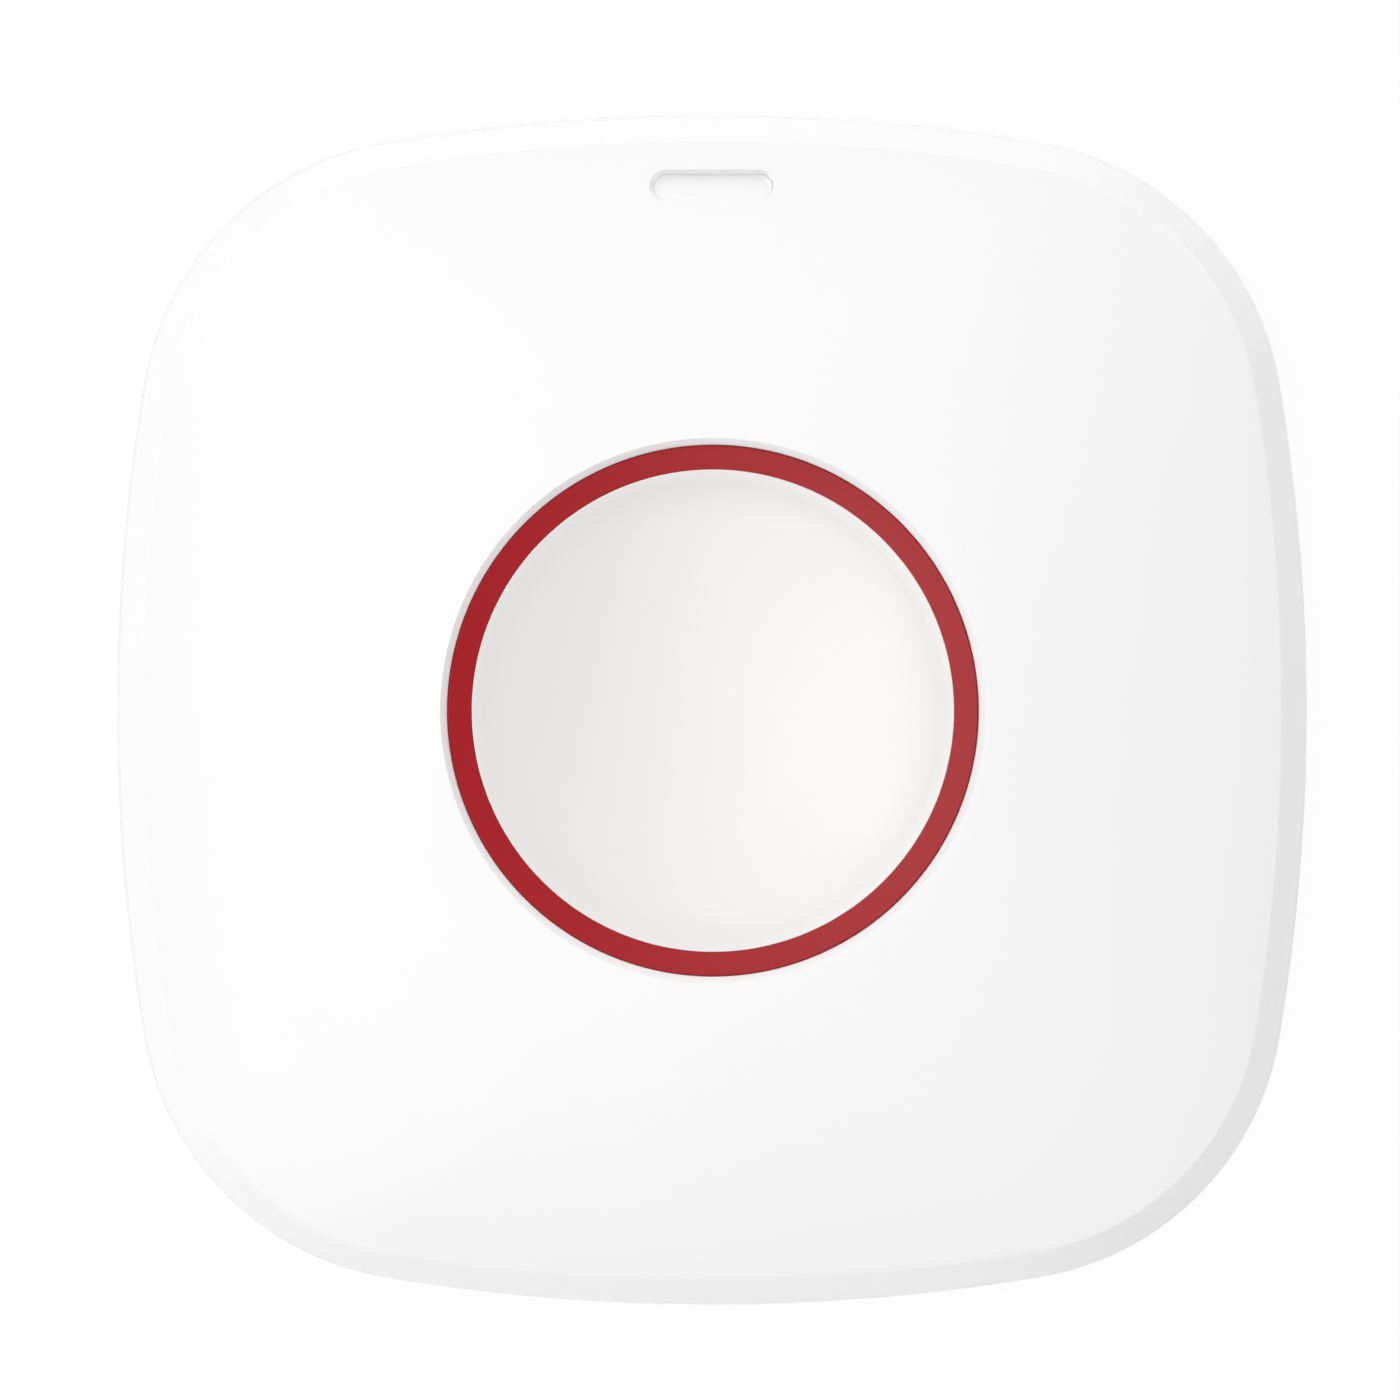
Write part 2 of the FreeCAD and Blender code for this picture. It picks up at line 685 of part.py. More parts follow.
def button_carrier():
    """Plate under the ring with the switch post, guide pins, spring seats and stiffening ribs."""
    solid = cylinder(carrier_radius, carrier_z, carrier_top_z)
    adds = [cylinder(CARRIER_POST_RADIUS, stem_top_z, carrier_z)]
    cuts = []
    pin_z = board_top_z + BUTTON_TRAVEL + PIN_CLEARANCE
    seat_radius = SPRING_MEAN_RADIUS + SPRING_WIRE / 2 + PIN_CLEARANCE
    spring_top_z = carrier_z + SPRING_SEAT_DEPTH
    rib_reach = cap_radius - CAP_WALL - PIN_CLEARANCE
    rib_top_z = carrier_top_z + CARRIER_RIB_HEIGHT
    for point in guide_points():
        cuts.append(cylinder(seat_radius, carrier_z, spring_top_z, point.x, point.y))
        rib = block(rib_reach / 2, 0, rib_reach, CARRIER_RIB, carrier_top_z, rib_top_z)
        rib.rotate(Vector(0, 0, 0), Vector(0, 0, 1), math.degrees(math.atan2(point.y, point.x)))
        adds.append(rib)
    for point in button_screw_points():
        hole = BUTTON_SHANK_RADIUS + SHANK_CLEARANCE
        cuts.append(cylinder(hole, carrier_z, carrier_top_z, point.x, point.y))
    pins = [cylinder(GUIDE_PIN_RADIUS, pin_z, carrier_top_z, p.x, p.y) for p in guide_points()]
    return solid.fuse(adds).cut(cuts).fuse(pins)


def button_screws():
    """The screws that pull the cap onto the ring and the carrier."""
    head_z = carrier_z - BUTTON_HEAD
    shank = CARRIER_THICKNESS + BUTTON_GRIP
    sizes = (head_z, BUTTON_HEAD, BUTTON_HEAD_RADIUS, BUTTON_SHANK_RADIUS, shank)
    return Part.makeCompound([screw(point.x, point.y, *sizes) for point in button_screw_points()])


def return_springs():
    """Three coil springs round the guide pins, between the button frame and the carrier."""
    length = carrier_z + SPRING_SEAT_DEPTH - frame_top_z
    springs = []
    for point in guide_points():
        spring = coil(SPRING_MEAN_RADIUS, SPRING_WIRE, SPRING_TURNS, length)
        spring.translate(Vector(point.x, point.y, frame_top_z))
        springs.append(spring)
    return Part.makeCompound(springs)


def button_frame():
    """Plate over the board with a window for the switch, guide holes and a stiffening collar."""
    size = 2 * frame_half
    solid = rounded_block(0, 0, size, size, FRAME_CORNER, frame_z, frame_top_z)
    collar_top_z = frame_top_z + FRAME_COLLAR_HEIGHT
    adds = [tube(frame_collar_outer, frame_collar_inner, frame_z, collar_top_z)]
    window = SWITCH_SIZE + 2 * FRAME_WINDOW_GAP
    cuts = [rounded_block(0, 0, window, window, FRAME_WINDOW_GAP, frame_z, frame_top_z)]
    for x, y in corners(board_boss_at, board_boss_at):
        adds.append(cylinder(BOARD_BOSS_RADIUS, board_top_z, frame_z, x, y))
        hole = BOARD_SHANK_RADIUS + SHANK_CLEARANCE
        cuts.append(cylinder(hole, board_top_z, frame_top_z, x, y))
    for point in guide_points():
        hole = GUIDE_PIN_RADIUS + PIN_CLEARANCE
        cuts.append(cylinder(hole, frame_z, frame_top_z, point.x, point.y))
    return solid.fuse(adds).cut(cuts)


def circuit_board():
    """Board with the body's outline, notched round the case bosses."""
    cuts = []
    for x, y in corners(case_boss_at, case_boss_at):
        notch = CASE_BOSS_RADIUS + BOARD_NOTCH_GAP
        cuts.append(cylinder(notch, board_z, board_top_z, x, y))
    for x, y in corners(board_boss_at, board_boss_at):
        hole = BOARD_SHANK_RADIUS + SHANK_CLEARANCE
        cuts.append(cylinder(hole, board_z, board_top_z, x, y))
    cuts += [outboard_wedge(x, y) for x, y in corners(case_boss_at, case_boss_at)]
    return plate(BOARD_INSET, board_z, board_top_z).cut(cuts)


def outboard_wedge(x, y):
    """The corner of the board outside a case boss, where the rib runs."""
    width = 2 * (CASE_BOSS_RADIUS + BOARD_NOTCH_GAP)
    wedge = block(CORNER_RADIUS / 2, 0, CORNER_RADIUS, width, board_z, board_top_z)
    wedge.rotate(Vector(0, 0, 0), Vector(0, 0, 1), math.degrees(math.atan2(y, x)))
    wedge.translate(Vector(x, y, 0))
    return wedge


def board_screws():
    """Screws through the board and the frame into the bosses of the front cover."""
    head_z = board_z - BOARD_HEAD
    shank = frame_top_z - board_z + BOARD_GRIP
    sizes = (head_z, BOARD_HEAD, BOARD_HEAD_RADIUS, BOARD_SHANK_RADIUS, shank)
    points = corners(board_boss_at, board_boss_at)
    return Part.makeCompound([screw(x, y, *sizes) for x, y in points])


def switch_body():
    """Square base of the push switch, hollow for the stem."""
    solid = rounded_block(0, 0, SWITCH_SIZE, SWITCH_SIZE, SWITCH_FLOOR, board_top_z, switch_top_z)
    cavity = STEM_RADIUS + STEM_COLLAR + RUN_CLEARANCE
    return solid.cut(cylinder(cavity, board_top_z + SWITCH_FLOOR, switch_top_z))


def switch_cover_plate():
    """Metal plate that closes the push switch round its stem."""
    top_z = switch_top_z + SWITCH_PLATE
    solid = rounded_block(0, 0, SWITCH_SIZE, SWITCH_SIZE, SWITCH_FLOOR, switch_top_z, top_z)
    return solid.cut(cylinder(STEM_RADIUS + PIN_CLEARANCE, switch_top_z, top_z))


def switch_stem():
    """Round stem of the push switch, kept in by a collar under the plate."""
    floor_z = board_top_z + SWITCH_FLOOR
    foot_z = floor_z + BUTTON_TRAVEL + SEAT_GAP
    collar_top_z = switch_top_z - SEAT_GAP
    collar = cylinder(STEM_RADIUS + STEM_COLLAR, foot_z, collar_top_z)
    return cylinder(STEM_RADIUS, foot_z, stem_top_z).fuse(collar)


def indicator_led():
    """Light source under the light pipe: a lens on a flat base."""
    base_z = board_top_z + LED_HEIGHT / 2
    base = block(0, slot_y, LED_LENGTH, LED_WIDTH, board_top_z, base_z)
    lens = block(0, slot_y, LED_LENS_LENGTH, LED_LENS_WIDTH, base_z, board_top_z + LED_HEIGHT)
    return base.fuse(lens)


def antenna_coil():
    """Helical aerial beside the button, on two legs that stand on the board."""
    axis_z = board_top_z + ANTENNA_CLEAR + ANTENNA_RADIUS
    solid = coil(ANTENNA_RADIUS, ANTENNA_WIRE, ANTENNA_TURNS, ANTENNA_LENGTH)
    solid.rotate(Vector(0, 0, 0), Vector(1, 0, 0), -90)
    solid.translate(Vector(-strip, -ANTENNA_LENGTH / 2, axis_z))
    leg = ANTENNA_WIRE * ANTENNA_LEG_SHARE
    leg_x = -strip + ANTENNA_RADIUS
    for end in (-1, 1):
        leg_y = end * (ANTENNA_LENGTH - ANTENNA_WIRE) / 2
        post = cylinder(leg, board_top_z, axis_z, leg_x, leg_y)
        solid = solid.fuse(post.fuse(Part.makeSphere(leg, Vector(leg_x, leg_y, axis_z))))
    return solid


def radio_board():
    """Small board of the radio module."""
    top_z = board_top_z + RADIO_BOARD
    return block(strip, 0, RADIO_WIDTH, RADIO_LENGTH, board_top_z, top_z)


def radio_shield():
    """Pressed can over the radio module."""
    base_z = board_top_z + RADIO_BOARD
    top_z = base_z + SHIELD_HEIGHT
    can = rounded_block(strip, 0, SHIELD_WIDTH, SHIELD_LENGTH, SHIELD_WALL, base_z, top_z)
    width = SHIELD_WIDTH - 2 * SHIELD_WALL
    length = SHIELD_LENGTH - 2 * SHIELD_WALL
    return can.cut(block(strip, 0, width, length, base_z, top_z - SHIELD_WALL))


def controller_chip():
    """Square controller chip."""
    top_z = board_top_z + CHIP_HEIGHT
    return block(CHIP_X, strip, CHIP_SIZE, CHIP_SIZE, board_top_z, top_z)


def crystal():
    """Crystal in a metal can with round ends, on a wider base."""
    base_z = board_top_z + PART_HEIGHT
    rim = PART_HEIGHT
    length, width = CRYSTAL_LENGTH, CRYSTAL_WIDTH
    base = stadium(CRYSTAL_X, strip, length, width, board_top_z, base_z)
    can_top_z = board_top_z + CRYSTAL_HEIGHT
    can = stadium(CRYSTAL_X, strip, length - rim, width - rim, base_z, can_top_z)
    return base.fuse(can)


def capacitor():
    """Round can capacitor on a square foot."""
    foot_z = board_top_z + PART_HEIGHT
    size = 2 * CAPACITOR_RADIUS
    foot = rounded_block(
        CAPACITOR_X, -strip, size, size, CAPACITOR_FOOT_CORNER, board_top_z, foot_z
    )
    top_z = board_top_z + CAPACITOR_HEIGHT
    return foot.fuse(cylinder(CAPACITOR_RADIUS, foot_z, top_z, CAPACITOR_X, -strip))


def board_components():
    """Rows of chip resistors and capacitors."""
    top_z = board_top_z + PART_HEIGHT
    places = [(-strip, end * ANTENNA_PARTS_AT) for end in (-1, 1)]
    for index in range(PART_ROW_COUNT):
        x = PART_ROW_X + PART_STEP * (index - (PART_ROW_COUNT - 1) / 2)
        places += [(x, -strip - PART_STEP / 2), (x, -strip + PART_STEP / 2)]
    for index in range(RADIO_PARTS_COUNT):
        y = RADIO_PARTS_AT + RADIO_PARTS_STEP * index
        places += [(strip, -y), (strip, y)]
    chips = [block(x, y, PART_LENGTH, PART_WIDTH, board_top_z, top_z) for x, y in places]
    return Part.makeCompound(chips)


def battery_holder():
    """Ring round the coin cell under the board, open at the side contact."""
    solid = tube(holder_inner + HOLDER_WALL, holder_inner, holder_z, board_z, 0, DOOR_Y)
    reach = holder_inner + HOLDER_WALL
    gate = block(reach, DOOR_Y, 2 * HOLDER_WALL + CELL_SIDE_GAP, HOLDER_GATE, holder_z, board_z)
    return solid.cut(gate)


def leaf(points, width, y):
    """Bent strip: a section in X and Z drawn out in Y."""
    vertices = [Vector(x, y - width / 2, z) for x, z in points]
    face = Part.Face(Part.makePolygon(vertices + vertices[:1]))
    return face.extrude(Vector(0, width, 0))


def negative_contact():
    """Bridge shaped leaf under the board that presses on the cell's cap."""
    half = CONTACT_LENGTH / 2
    foot = half - CONTACT_FOOT
    thick = CONTACT_THICKNESS
    upper = [(-half, board_z), (-foot, board_z), (-thick, cell_top_z + thick)]
    upper += [(-x, z) for x, z in reversed(upper)]
    lower = [(x, z - thick) for x, z in reversed(upper)]
    return leaf(upper + lower, CONTACT_WIDTH, DOOR_Y)


def positive_contact():
    """Angled leaf in the holder's gap that presses on the side of the cell."""
    thick = CONTACT_THICKNESS
    near = CELL_RADIUS + CONTACT_RELIEF
    far = near + CONTACT_FOOT
    low = holder_z + CONTACT_RELIEF
    points = [(near, low), (near + thick, low), (near + thick, board_z - thick)]
    points += [(far, board_z - thick), (far, board_z), (near, board_z)]
    return leaf(points, CONTACT_WIDTH, DOOR_Y)


def coin_cell():
    """Coin cell: rounded can with a raised cap of the other pole on its upper side."""
    top = cell_top_z - CELL_CAP
    low = cell_z + CELL_EDGE
    solid = turned(
        (0, cell_z),
        (CELL_RADIUS - CELL_EDGE, cell_z),
        (CELL_RADIUS, low),
        (CELL_RADIUS, top - CELL_EDGE),
        (CELL_RADIUS - CELL_EDGE, top),
        (CELL_CAP_RADIUS, top),
        (CELL_CAP_RADIUS, cell_top_z),
        (0, cell_top_z),
    )
    solid.translate(Vector(0, DOOR_Y, 0))
    return solid


def tamper_levels():
    """Levels of the tamper switch: its floor, the plunger's head and the cavity's top."""
    cavity_top = board_z - TAMPER_WALL
    head_top = cavity_top - PIN_CLEARANCE
    head = head_top - TAMPER_HEAD
    cavity = head - TAMPER_TRAVEL - PIN_CLEARANCE
    return cavity - TAMPER_WALL, cavity, head, head_top, cavity_top


def tamper_switch_body():
    """Box under the board in which the tamper plunger runs."""
    floor, cavity, head, head_top, cavity_top = tamper_levels()
    solid = block(0, tamper_y, TAMPER_BODY, TAMPER_BODY, floor, board_z)
    bore = cylinder(TAMPER_RADIUS + DOOR_CLEARANCE, floor, cavity, 0, tamper_y)
    room = cylinder(TAMPER_HEAD_RADIUS + DOOR_CLEARANCE, cavity, cavity_top, 0, tamper_y)
    return solid.cut([bore, room])


def tamper_plunger():
    """Plunger that rides on the bracket's ramp and comes out as the housing leaves it."""
    head, head_top = tamper_levels()[2:4]
    tip_z = rear_z + SEAT_GAP
    solid = turned(
        (0, tip_z),
        (TAMPER_TIP_RADIUS, tip_z),
        (TAMPER_RADIUS, tip_z + TAMPER_TIP_HEIGHT),
        (TAMPER_RADIUS, head),
        (TAMPER_HEAD_RADIUS, head),
        (TAMPER_HEAD_RADIUS, head_top),
        (0, head_top),
    )
    solid.translate(Vector(0, tamper_y, 0))
    return solid


def door_lug_angles():
    """Directions of the battery door's lugs when it is closed."""
    return [90.0 + 360.0 / LUG_COUNT * index for index in range(LUG_COUNT)]


def battery_door():
    """Disc with a spigot round the cell, bayonet lugs and a slot for a coin."""
    spigot_inner = DOOR_SPIGOT_RADIUS - DOOR_SPIGOT_WALL
    solid = turned(
        (0, rear_z),
        (DOOR_RADIUS - DOOR_EDGE, rear_z),
        (DOOR_RADIUS, rear_z + DOOR_EDGE),
        (DOOR_RADIUS, door_floor_z),
        (0, door_floor_z),
    )
    adds = [tube(DOOR_SPIGOT_RADIUS, spigot_inner, door_floor_z, lug_top_z)]
    room = cylinder(spigot_inner, lug_z, lug_top_z)
    for angle in door_lug_angles():
        adds.append(sector(lug_radius, angle, LUG_ANGLE, lug_z, lug_top_z).cut(room))
    slot_top_z = rear_z + COIN_SLOT_DEPTH
    slot = stadium(0, 0, COIN_SLOT_LENGTH, COIN_SLOT_WIDTH, rear_z, slot_top_z)
    solid = solid.fuse(adds).cut(slot)
    solid.translate(Vector(0, DOOR_Y, 0))
    return solid


def door_collar():
    """Collar of the rear cover round the battery door, and the room inside it."""
    top_z = lug_top_z + COLLAR_OVER_LUGS
    solid = cylinder(collar_radius, rear_z, top_z)
    cuts = [cylinder(door_well_radius, rear_z, door_floor_z)]
    cuts.append(cylinder(ledge_radius, door_floor_z, ledge_z))
    cuts.append(cylinder(door_well_radius, ledge_z, top_z))
    gate = LUG_ANGLE + 2 * LUG_SPARE_ANGLE
    for angle in door_lug_angles():
        open_angle = angle + DOOR_TURN
        cuts.append(sector(door_well_radius, open_angle, gate, door_floor_z, ledge_z))
    return solid, cuts


def rear_cover():
    """Back of the housing: flange, locating lip, screw pads, door collar and hook slots."""
    lip_top_z = rear_floor_z + REAR_LIP_HEIGHT
    lip_inset = COVER_WALL + LIP_CLEARANCE
    lip = plate(lip_inset, rear_floor_z, lip_top_z)
    lip = lip.cut(plate(lip_inset + REAR_LIP, rear_floor_z, lip_top_z))
    collar, collar_cuts = door_collar()
    for shape in [collar] + collar_cuts:
        shape.translate(Vector(0, DOOR_Y, 0))
    adds = [lip, collar]
    cuts = collar_cuts
    rib_top_z = rear_floor_z + REAR_RIB_HEIGHT
    rib_length = 2 * (case_boss_at - CASE_PAD_RADIUS)
    for side in (-1, 1):
        adds.append(block(side * rear_rib_x, 0, REAR_RIB, rib_length, rear_floor_z, rib_top_z))
    sink_z = rear_z + CASE_SINK_DEPTH
    for x, y in corners(case_boss_at, case_boss_at):
        adds.append(cylinder(CASE_PAD_RADIUS, rear_floor_z, case_pad_z, x, y))
        cuts.append(cylinder(CASE_HEAD_RADIUS + CASE_HEAD_CLEARANCE, rear_z, sink_z, x, y))
        cuts.append(cylinder(CASE_SHANK_RADIUS + SHANK_CLEARANCE, sink_z, case_pad_z, x, y))
    slot_length = HOOK_STEM + SLIDE_TRAVEL + 2 * HOOK_CLEARANCE
    slot_width = HOOK_WIDTH + 2 * HOOK_CLEARANCE
    for x, y in corners(hook_x, hook_y):
        slot_y = y - SLIDE_TRAVEL / 2
        cuts.append(block(x, slot_y, slot_width, slot_length, rear_z, rear_floor_z))
    hole = TAMPER_RADIUS + DOOR_CLEARANCE
    cuts.append(cylinder(hole, rear_z, rear_floor_z, 0, tamper_y))
    return edged_plate(REAR_INSET, rear_z, rear_floor_z, REAR_EDGE).fuse(adds).cut(cuts)


def case_screws():
    """Screws from behind through the rear cover's pads into the front cover."""
    head_z = rear_z + CASE_SINK_DEPTH - CASE_HEAD
    sizes = (head_z, CASE_HEAD, CASE_HEAD_RADIUS, CASE_SHANK_RADIUS, CASE_SHANK)
    points = corners(case_boss_at, case_boss_at)
    return Part.makeCompound([screw(x, y, *sizes) for x, y in points])


def tamper_ramp():
    """Recess in the bracket whose floor falls towards +Y as far as the plunger comes out."""
    start = tamper_y - TAMPER_TIP_RADIUS
    length = SLIDE_TRAVEL + 2 * TAMPER_TIP_RADIUS + TAMPER_RADIUS
    depth = TAMPER_TRAVEL * length / SLIDE_TRAVEL
    points = [(start, rear_z), (start + length, rear_z), (start + length, rear_z - depth)]
    vertices = [Vector(-RAMP_WIDTH / 2, y, z) for y, z in points]
    face = Part.Face(Part.makePolygon(vertices + vertices[:1]))
    return face.extrude(Vector(RAMP_WIDTH, 0, 0))


def hook(x, y):
    """Hook of the bracket: a stem through the rear cover's slot and a tongue over its floor."""
    tongue_z = rear_floor_z + HOOK_CLEARANCE
    top_z = tongue_z + HOOK_TONGUE_THICKNESS
    stem = block(x, y, HOOK_WIDTH, HOOK_STEM, BRACKET_THICKNESS / 2, top_z)
    length = HOOK_STEM + HOOK_TONGUE
    tongue = block(x, y + HOOK_TONGUE / 2, HOOK_WIDTH, length, tongue_z, top_z)
    lead = [e for e in tongue.Edges if e.CenterOfMass.y > y + HOOK_TONGUE and e.CenterOfMass.z < top_z]
    lead = [e for e in lead if abs(e.CenterOfMass.z - tongue_z) < 1e-6]
    return stem.fuse(tongue.makeChamfer(HOOK_TONGUE_THICKNESS / 3, lead))


def wall_bracket():
    """Plate screwed to the wall, with four hooks and the tamper ramp."""
    solid = edged_plate(BRACKET_INSET, 0, BRACKET_THICKNESS, BRACKET_EDGE)
    hooks = [hook(x, y) for x, y in corners(hook_x, hook_y)]
    cuts = [tamper_ramp()]
    sink_z = BRACKET_THICKNESS - WALL_SINK_DEPTH
    for side in (-1, 1):
        x = side * WALL_HOLE_SPACING / 2
        cuts.append(cylinder(WALL_HOLE_RADIUS, 0, BRACKET_THICKNESS, x, 0))
        start = Vector(x, 0, sink_z)
        cuts.append(Part.makeCone(WALL_HOLE_RADIUS, WALL_SINK_RADIUS, WALL_SINK_DEPTH, start))
    return solid.fuse(hooks).cut(cuts)


PIECES = {
    "wall_bracket": wall_bracket,
    "rear_cover": rear_cover,
    "case_screws": case_screws,
    "battery_door": battery_door,
    "coin_cell": coin_cell,
    "battery_holder": battery_holder,
    "positive_contact": positive_contact,
    "negative_contact": negative_contact,
    "tamper_switch_body": tamper_switch_body,
    "tamper_plunger": tamper_plunger,
    "circuit_board": circuit_board,
    "board_screws": board_screws,
    "board_components": board_components,
    "controller_chip": controller_chip,
    "crystal": crystal,
    "capacitor": capacitor,
    "radio_board": radio_board,
    "radio_shield": radio_shield,
    "antenna_coil": antenna_coil,
    "indicator_led": indicator_led,
    "switch_body": switch_body,
    "switch_stem": switch_stem,
    "switch_cover_plate": switch_cover_plate,
    "button_frame": button_frame,
    "return_springs": return_springs,
    "button_carrier": button_carrier,
    "button_screws": button_screws,
    "button_ring": button_ring,
    "button_cap": button_cap,
    "light_pipe": light_pipe,
    "front_cover": front_cover,
}

os.makedirs("parts", exist_ok=True)
for name, make in PIECES.items():
    shape = make()
    if not shape.isValid():
        raise ValueError(f"{name} is not a valid shape")
    shape.exportStep(f"parts/{name}.step")
    print(f"{name}: {len(shape.Solids)} solids, {shape.Volume:.1f} mm3")
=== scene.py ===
import math

import bpy
import numpy as np
from bpy.props import FloatProperty, FloatVectorProperty, IntProperty, PointerProperty
from mathutils import Euler, Matrix, Vector
from mathutils.geometry import delaunay_2d_cdt


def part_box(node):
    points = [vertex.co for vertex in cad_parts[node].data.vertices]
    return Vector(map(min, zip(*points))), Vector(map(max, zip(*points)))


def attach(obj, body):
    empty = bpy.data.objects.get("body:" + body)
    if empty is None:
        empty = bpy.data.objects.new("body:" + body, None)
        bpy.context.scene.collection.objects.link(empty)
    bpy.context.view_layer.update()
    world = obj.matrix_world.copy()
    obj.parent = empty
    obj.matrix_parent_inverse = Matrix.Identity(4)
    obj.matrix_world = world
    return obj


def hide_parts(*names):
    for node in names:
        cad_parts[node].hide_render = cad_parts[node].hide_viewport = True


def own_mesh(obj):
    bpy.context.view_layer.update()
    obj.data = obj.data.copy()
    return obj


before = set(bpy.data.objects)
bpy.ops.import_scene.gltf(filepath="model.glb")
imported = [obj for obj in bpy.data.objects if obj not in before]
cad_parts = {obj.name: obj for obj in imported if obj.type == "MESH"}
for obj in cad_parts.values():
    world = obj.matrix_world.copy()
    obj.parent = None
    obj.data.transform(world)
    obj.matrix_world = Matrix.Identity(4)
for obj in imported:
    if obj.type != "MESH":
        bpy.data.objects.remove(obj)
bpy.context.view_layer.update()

bl_info = {
    "name": "Wireless panic button",
    "version": (1, 0, 0),
    "blender": (4, 5, 0),
    "location": "3D View > Sidebar > Panic button",
    "description": "Fine moulded outside, finishes and studio for a wireless panic button",
    "category": "Object",
}

MM = 0.001

# How finely the forms are divided, and how closely levels and slopes are found
SIDE_STEPS = 24
CORNER_STEPS = 56
TURN_STEPS = 288
ROUND_STEPS = 7
FACE_RINGS = 40
DISH_RINGS = 40
SLOT_END_STEPS = 24
SLOT_RUN_STEPS = 20
COIL_STEPS = 48
WIRE_STEPS = 14
LEVEL_HALVINGS = 34
SLOPE_STEP = 0.02 * MM

# Places on the face, from the well at 0 to the bevel at 1: its rings, and how far out levels are sought
FIRST_RING = 0.075
LAST_RING = 0.985
PAST_RIM = 1.08

# How far the next face is followed past a rounded edge, and its fall beside the well
FACE_LEAD = 1.0 * MM
LIP_LEAD = 0.5 * MM
LIP_LEAD_SLOPE = 0.07

# Strips beside a rounded edge that stay clear of other points
SLOT_CLEARANCE = 0.25 * MM
DISH_CLEARANCE = 0.3 * MM

# Nearer to a new face than this, the solid's own faces are left out
COVER_MARGIN = 0.05 * MM
CAP_WALL_MARGIN = 0.1 * MM
CAP_FOOT_MARGIN = 0.01 * MM
CAP_TOP_MARGIN = 0.6 * MM

# Angles in degrees: between faces that meet sharply, and half that of a corner that counts as straight
SHARP_EDGE = 38
NEARLY_STRAIGHT = 89

# Digits to which metres are rounded where levels and places are compared
LEVEL_DIGITS = 6
PLACE_DIGITS = 7

# How much closer a spring's end turns lie, and how the aerial's wire is joined and rounded
END_TURN_SHARE = 0.5
AERIAL_JOIN = 0.002 * MM
AERIAL_DIVISIONS = 2

# Shares of the solder mask's colour: its darker fields, and the lighter lines over the tracks
MASK_DARKER = 0.86
TRACK_LIGHTER = 1.9

# Share of a drawn line's fineness that it has along its run
LINE_RUN = 0.04

# Floor: half its width, how far it lies under the body, its paper and its share of plain white
FLOOR_REACH = 8.0
FLOOR_DROP = 0.05 * MM
FLOOR_PAPER = 0.97
FLOOR_ROUGHNESS = 0.9
FLOOR_WHITE_SHARE = 0.96

# Moulded plastics: depth of the grain in metres, grains to the metre, share of the tone's drift
PLASTICS = {
    "cover_white": {"roughness": 0.46, "depth": 0.001 * MM, "grain": 7000.0, "drift": 0.008},
    "ring_red": {"roughness": 0.34, "depth": 0.001 * MM, "grain": 7000.0, "drift": 0.04},
    "cap_white": {"roughness": 0.33, "depth": 0.003 * MM, "grain": 5200.0, "drift": 0.012},
    "pipe_frosted": {"roughness": 0.5, "depth": 0.004 * MM, "grain": 8000.0, "drift": 0.01},
    "led_lens": {"roughness": 0.2, "depth": 0.002 * MM, "grain": 9000.0, "drift": 0.05},
    "back_white": {"roughness": 0.5, "depth": 0.008 * MM, "grain": 4200.0, "drift": 0.03},
    "inner_plastic": {"roughness": 0.52, "depth": 0.01 * MM, "grain": 3800.0, "drift": 0.05},
    "black_plastic": {"roughness": 0.48, "depth": 0.01 * MM, "grain": 4000.0, "drift": 0.2},
    "stem_plastic": {"roughness": 0.4, "depth": 0.005 * MM, "grain": 5000.0, "drift": 0.06},
    "chip_ceramic": {"roughness": 0.42, "depth": 0.006 * MM, "grain": 3000.0, "drift": 0.35},
}

# Rolled and drawn metals: depth of the lines in metres, lines to the metre, share of the tone's drift
METALS = {
    "screw_steel": {"roughness": 0.32, "depth": 0.003 * MM, "lines": 3000.0, "drift": 0.12},
    "tinned_metal": {"roughness": 0.36, "depth": 0.004 * MM, "lines": 2600.0, "drift": 0.12},
    "cell_steel": {"roughness": 0.27, "depth": 0.003 * MM, "lines": 5200.0, "drift": 0.12},
    "spring_steel": {"roughness": 0.25, "depth": 0.0005 * MM, "lines": 6000.0, "drift": 0.12},
    "aerial_copper": {"roughness": 0.24, "depth": 0.001 * MM, "lines": 5000.0, "drift": 0.2},
}

# What single finishes have besides: gloss, refraction, a little clearness, enamel
CONSTANTS = {
    "ring_red": {"Specular IOR Level": 0.13},
    "pipe_frosted": {"IOR": 1.49, "Transmission Weight": 0.03},
    "aerial_copper": {"Coat Weight": 0.6},
}

# Soft lamps: azimuth and elevation in degrees, power in watts
LAMPS = {
    "lamp_right": (33.2, 15.0, 9.4),
    "lamp_below": (265.2, 15.0, 7.6),
    "lamp_window": (142.1, 23.7, 8.75),
    "lamp_over_left": (227.3, 74.4, 7.6),
    "lamp_over_top": (132.6, 74.1, 7.4),
}


def length(name, description, default):
    """A length in metres that the sidebar shows."""
    return FloatProperty(
        name=name,
        description=description,
        default=default,
        precision=5,
        unit="LENGTH",
        subtype="DISTANCE",
    )


def plain_number(name, description, default, **limits):
    """A plain number that the sidebar shows."""
    return FloatProperty(name=name, description=description, default=default, precision=4, **limits)


def whole_number(name, description, default):
    """A whole number, one or more, that the sidebar shows."""
    return IntProperty(name=name, description=description, default=default, min=1)


def colour(name, description, default):
    """A colour, linear, that the sidebar shows."""
    return FloatVectorProperty(
        name=name,
        description=description,
        default=default,
        size=3,
        min=0.0,
        max=1.0,
        subtype="COLOR",
    )


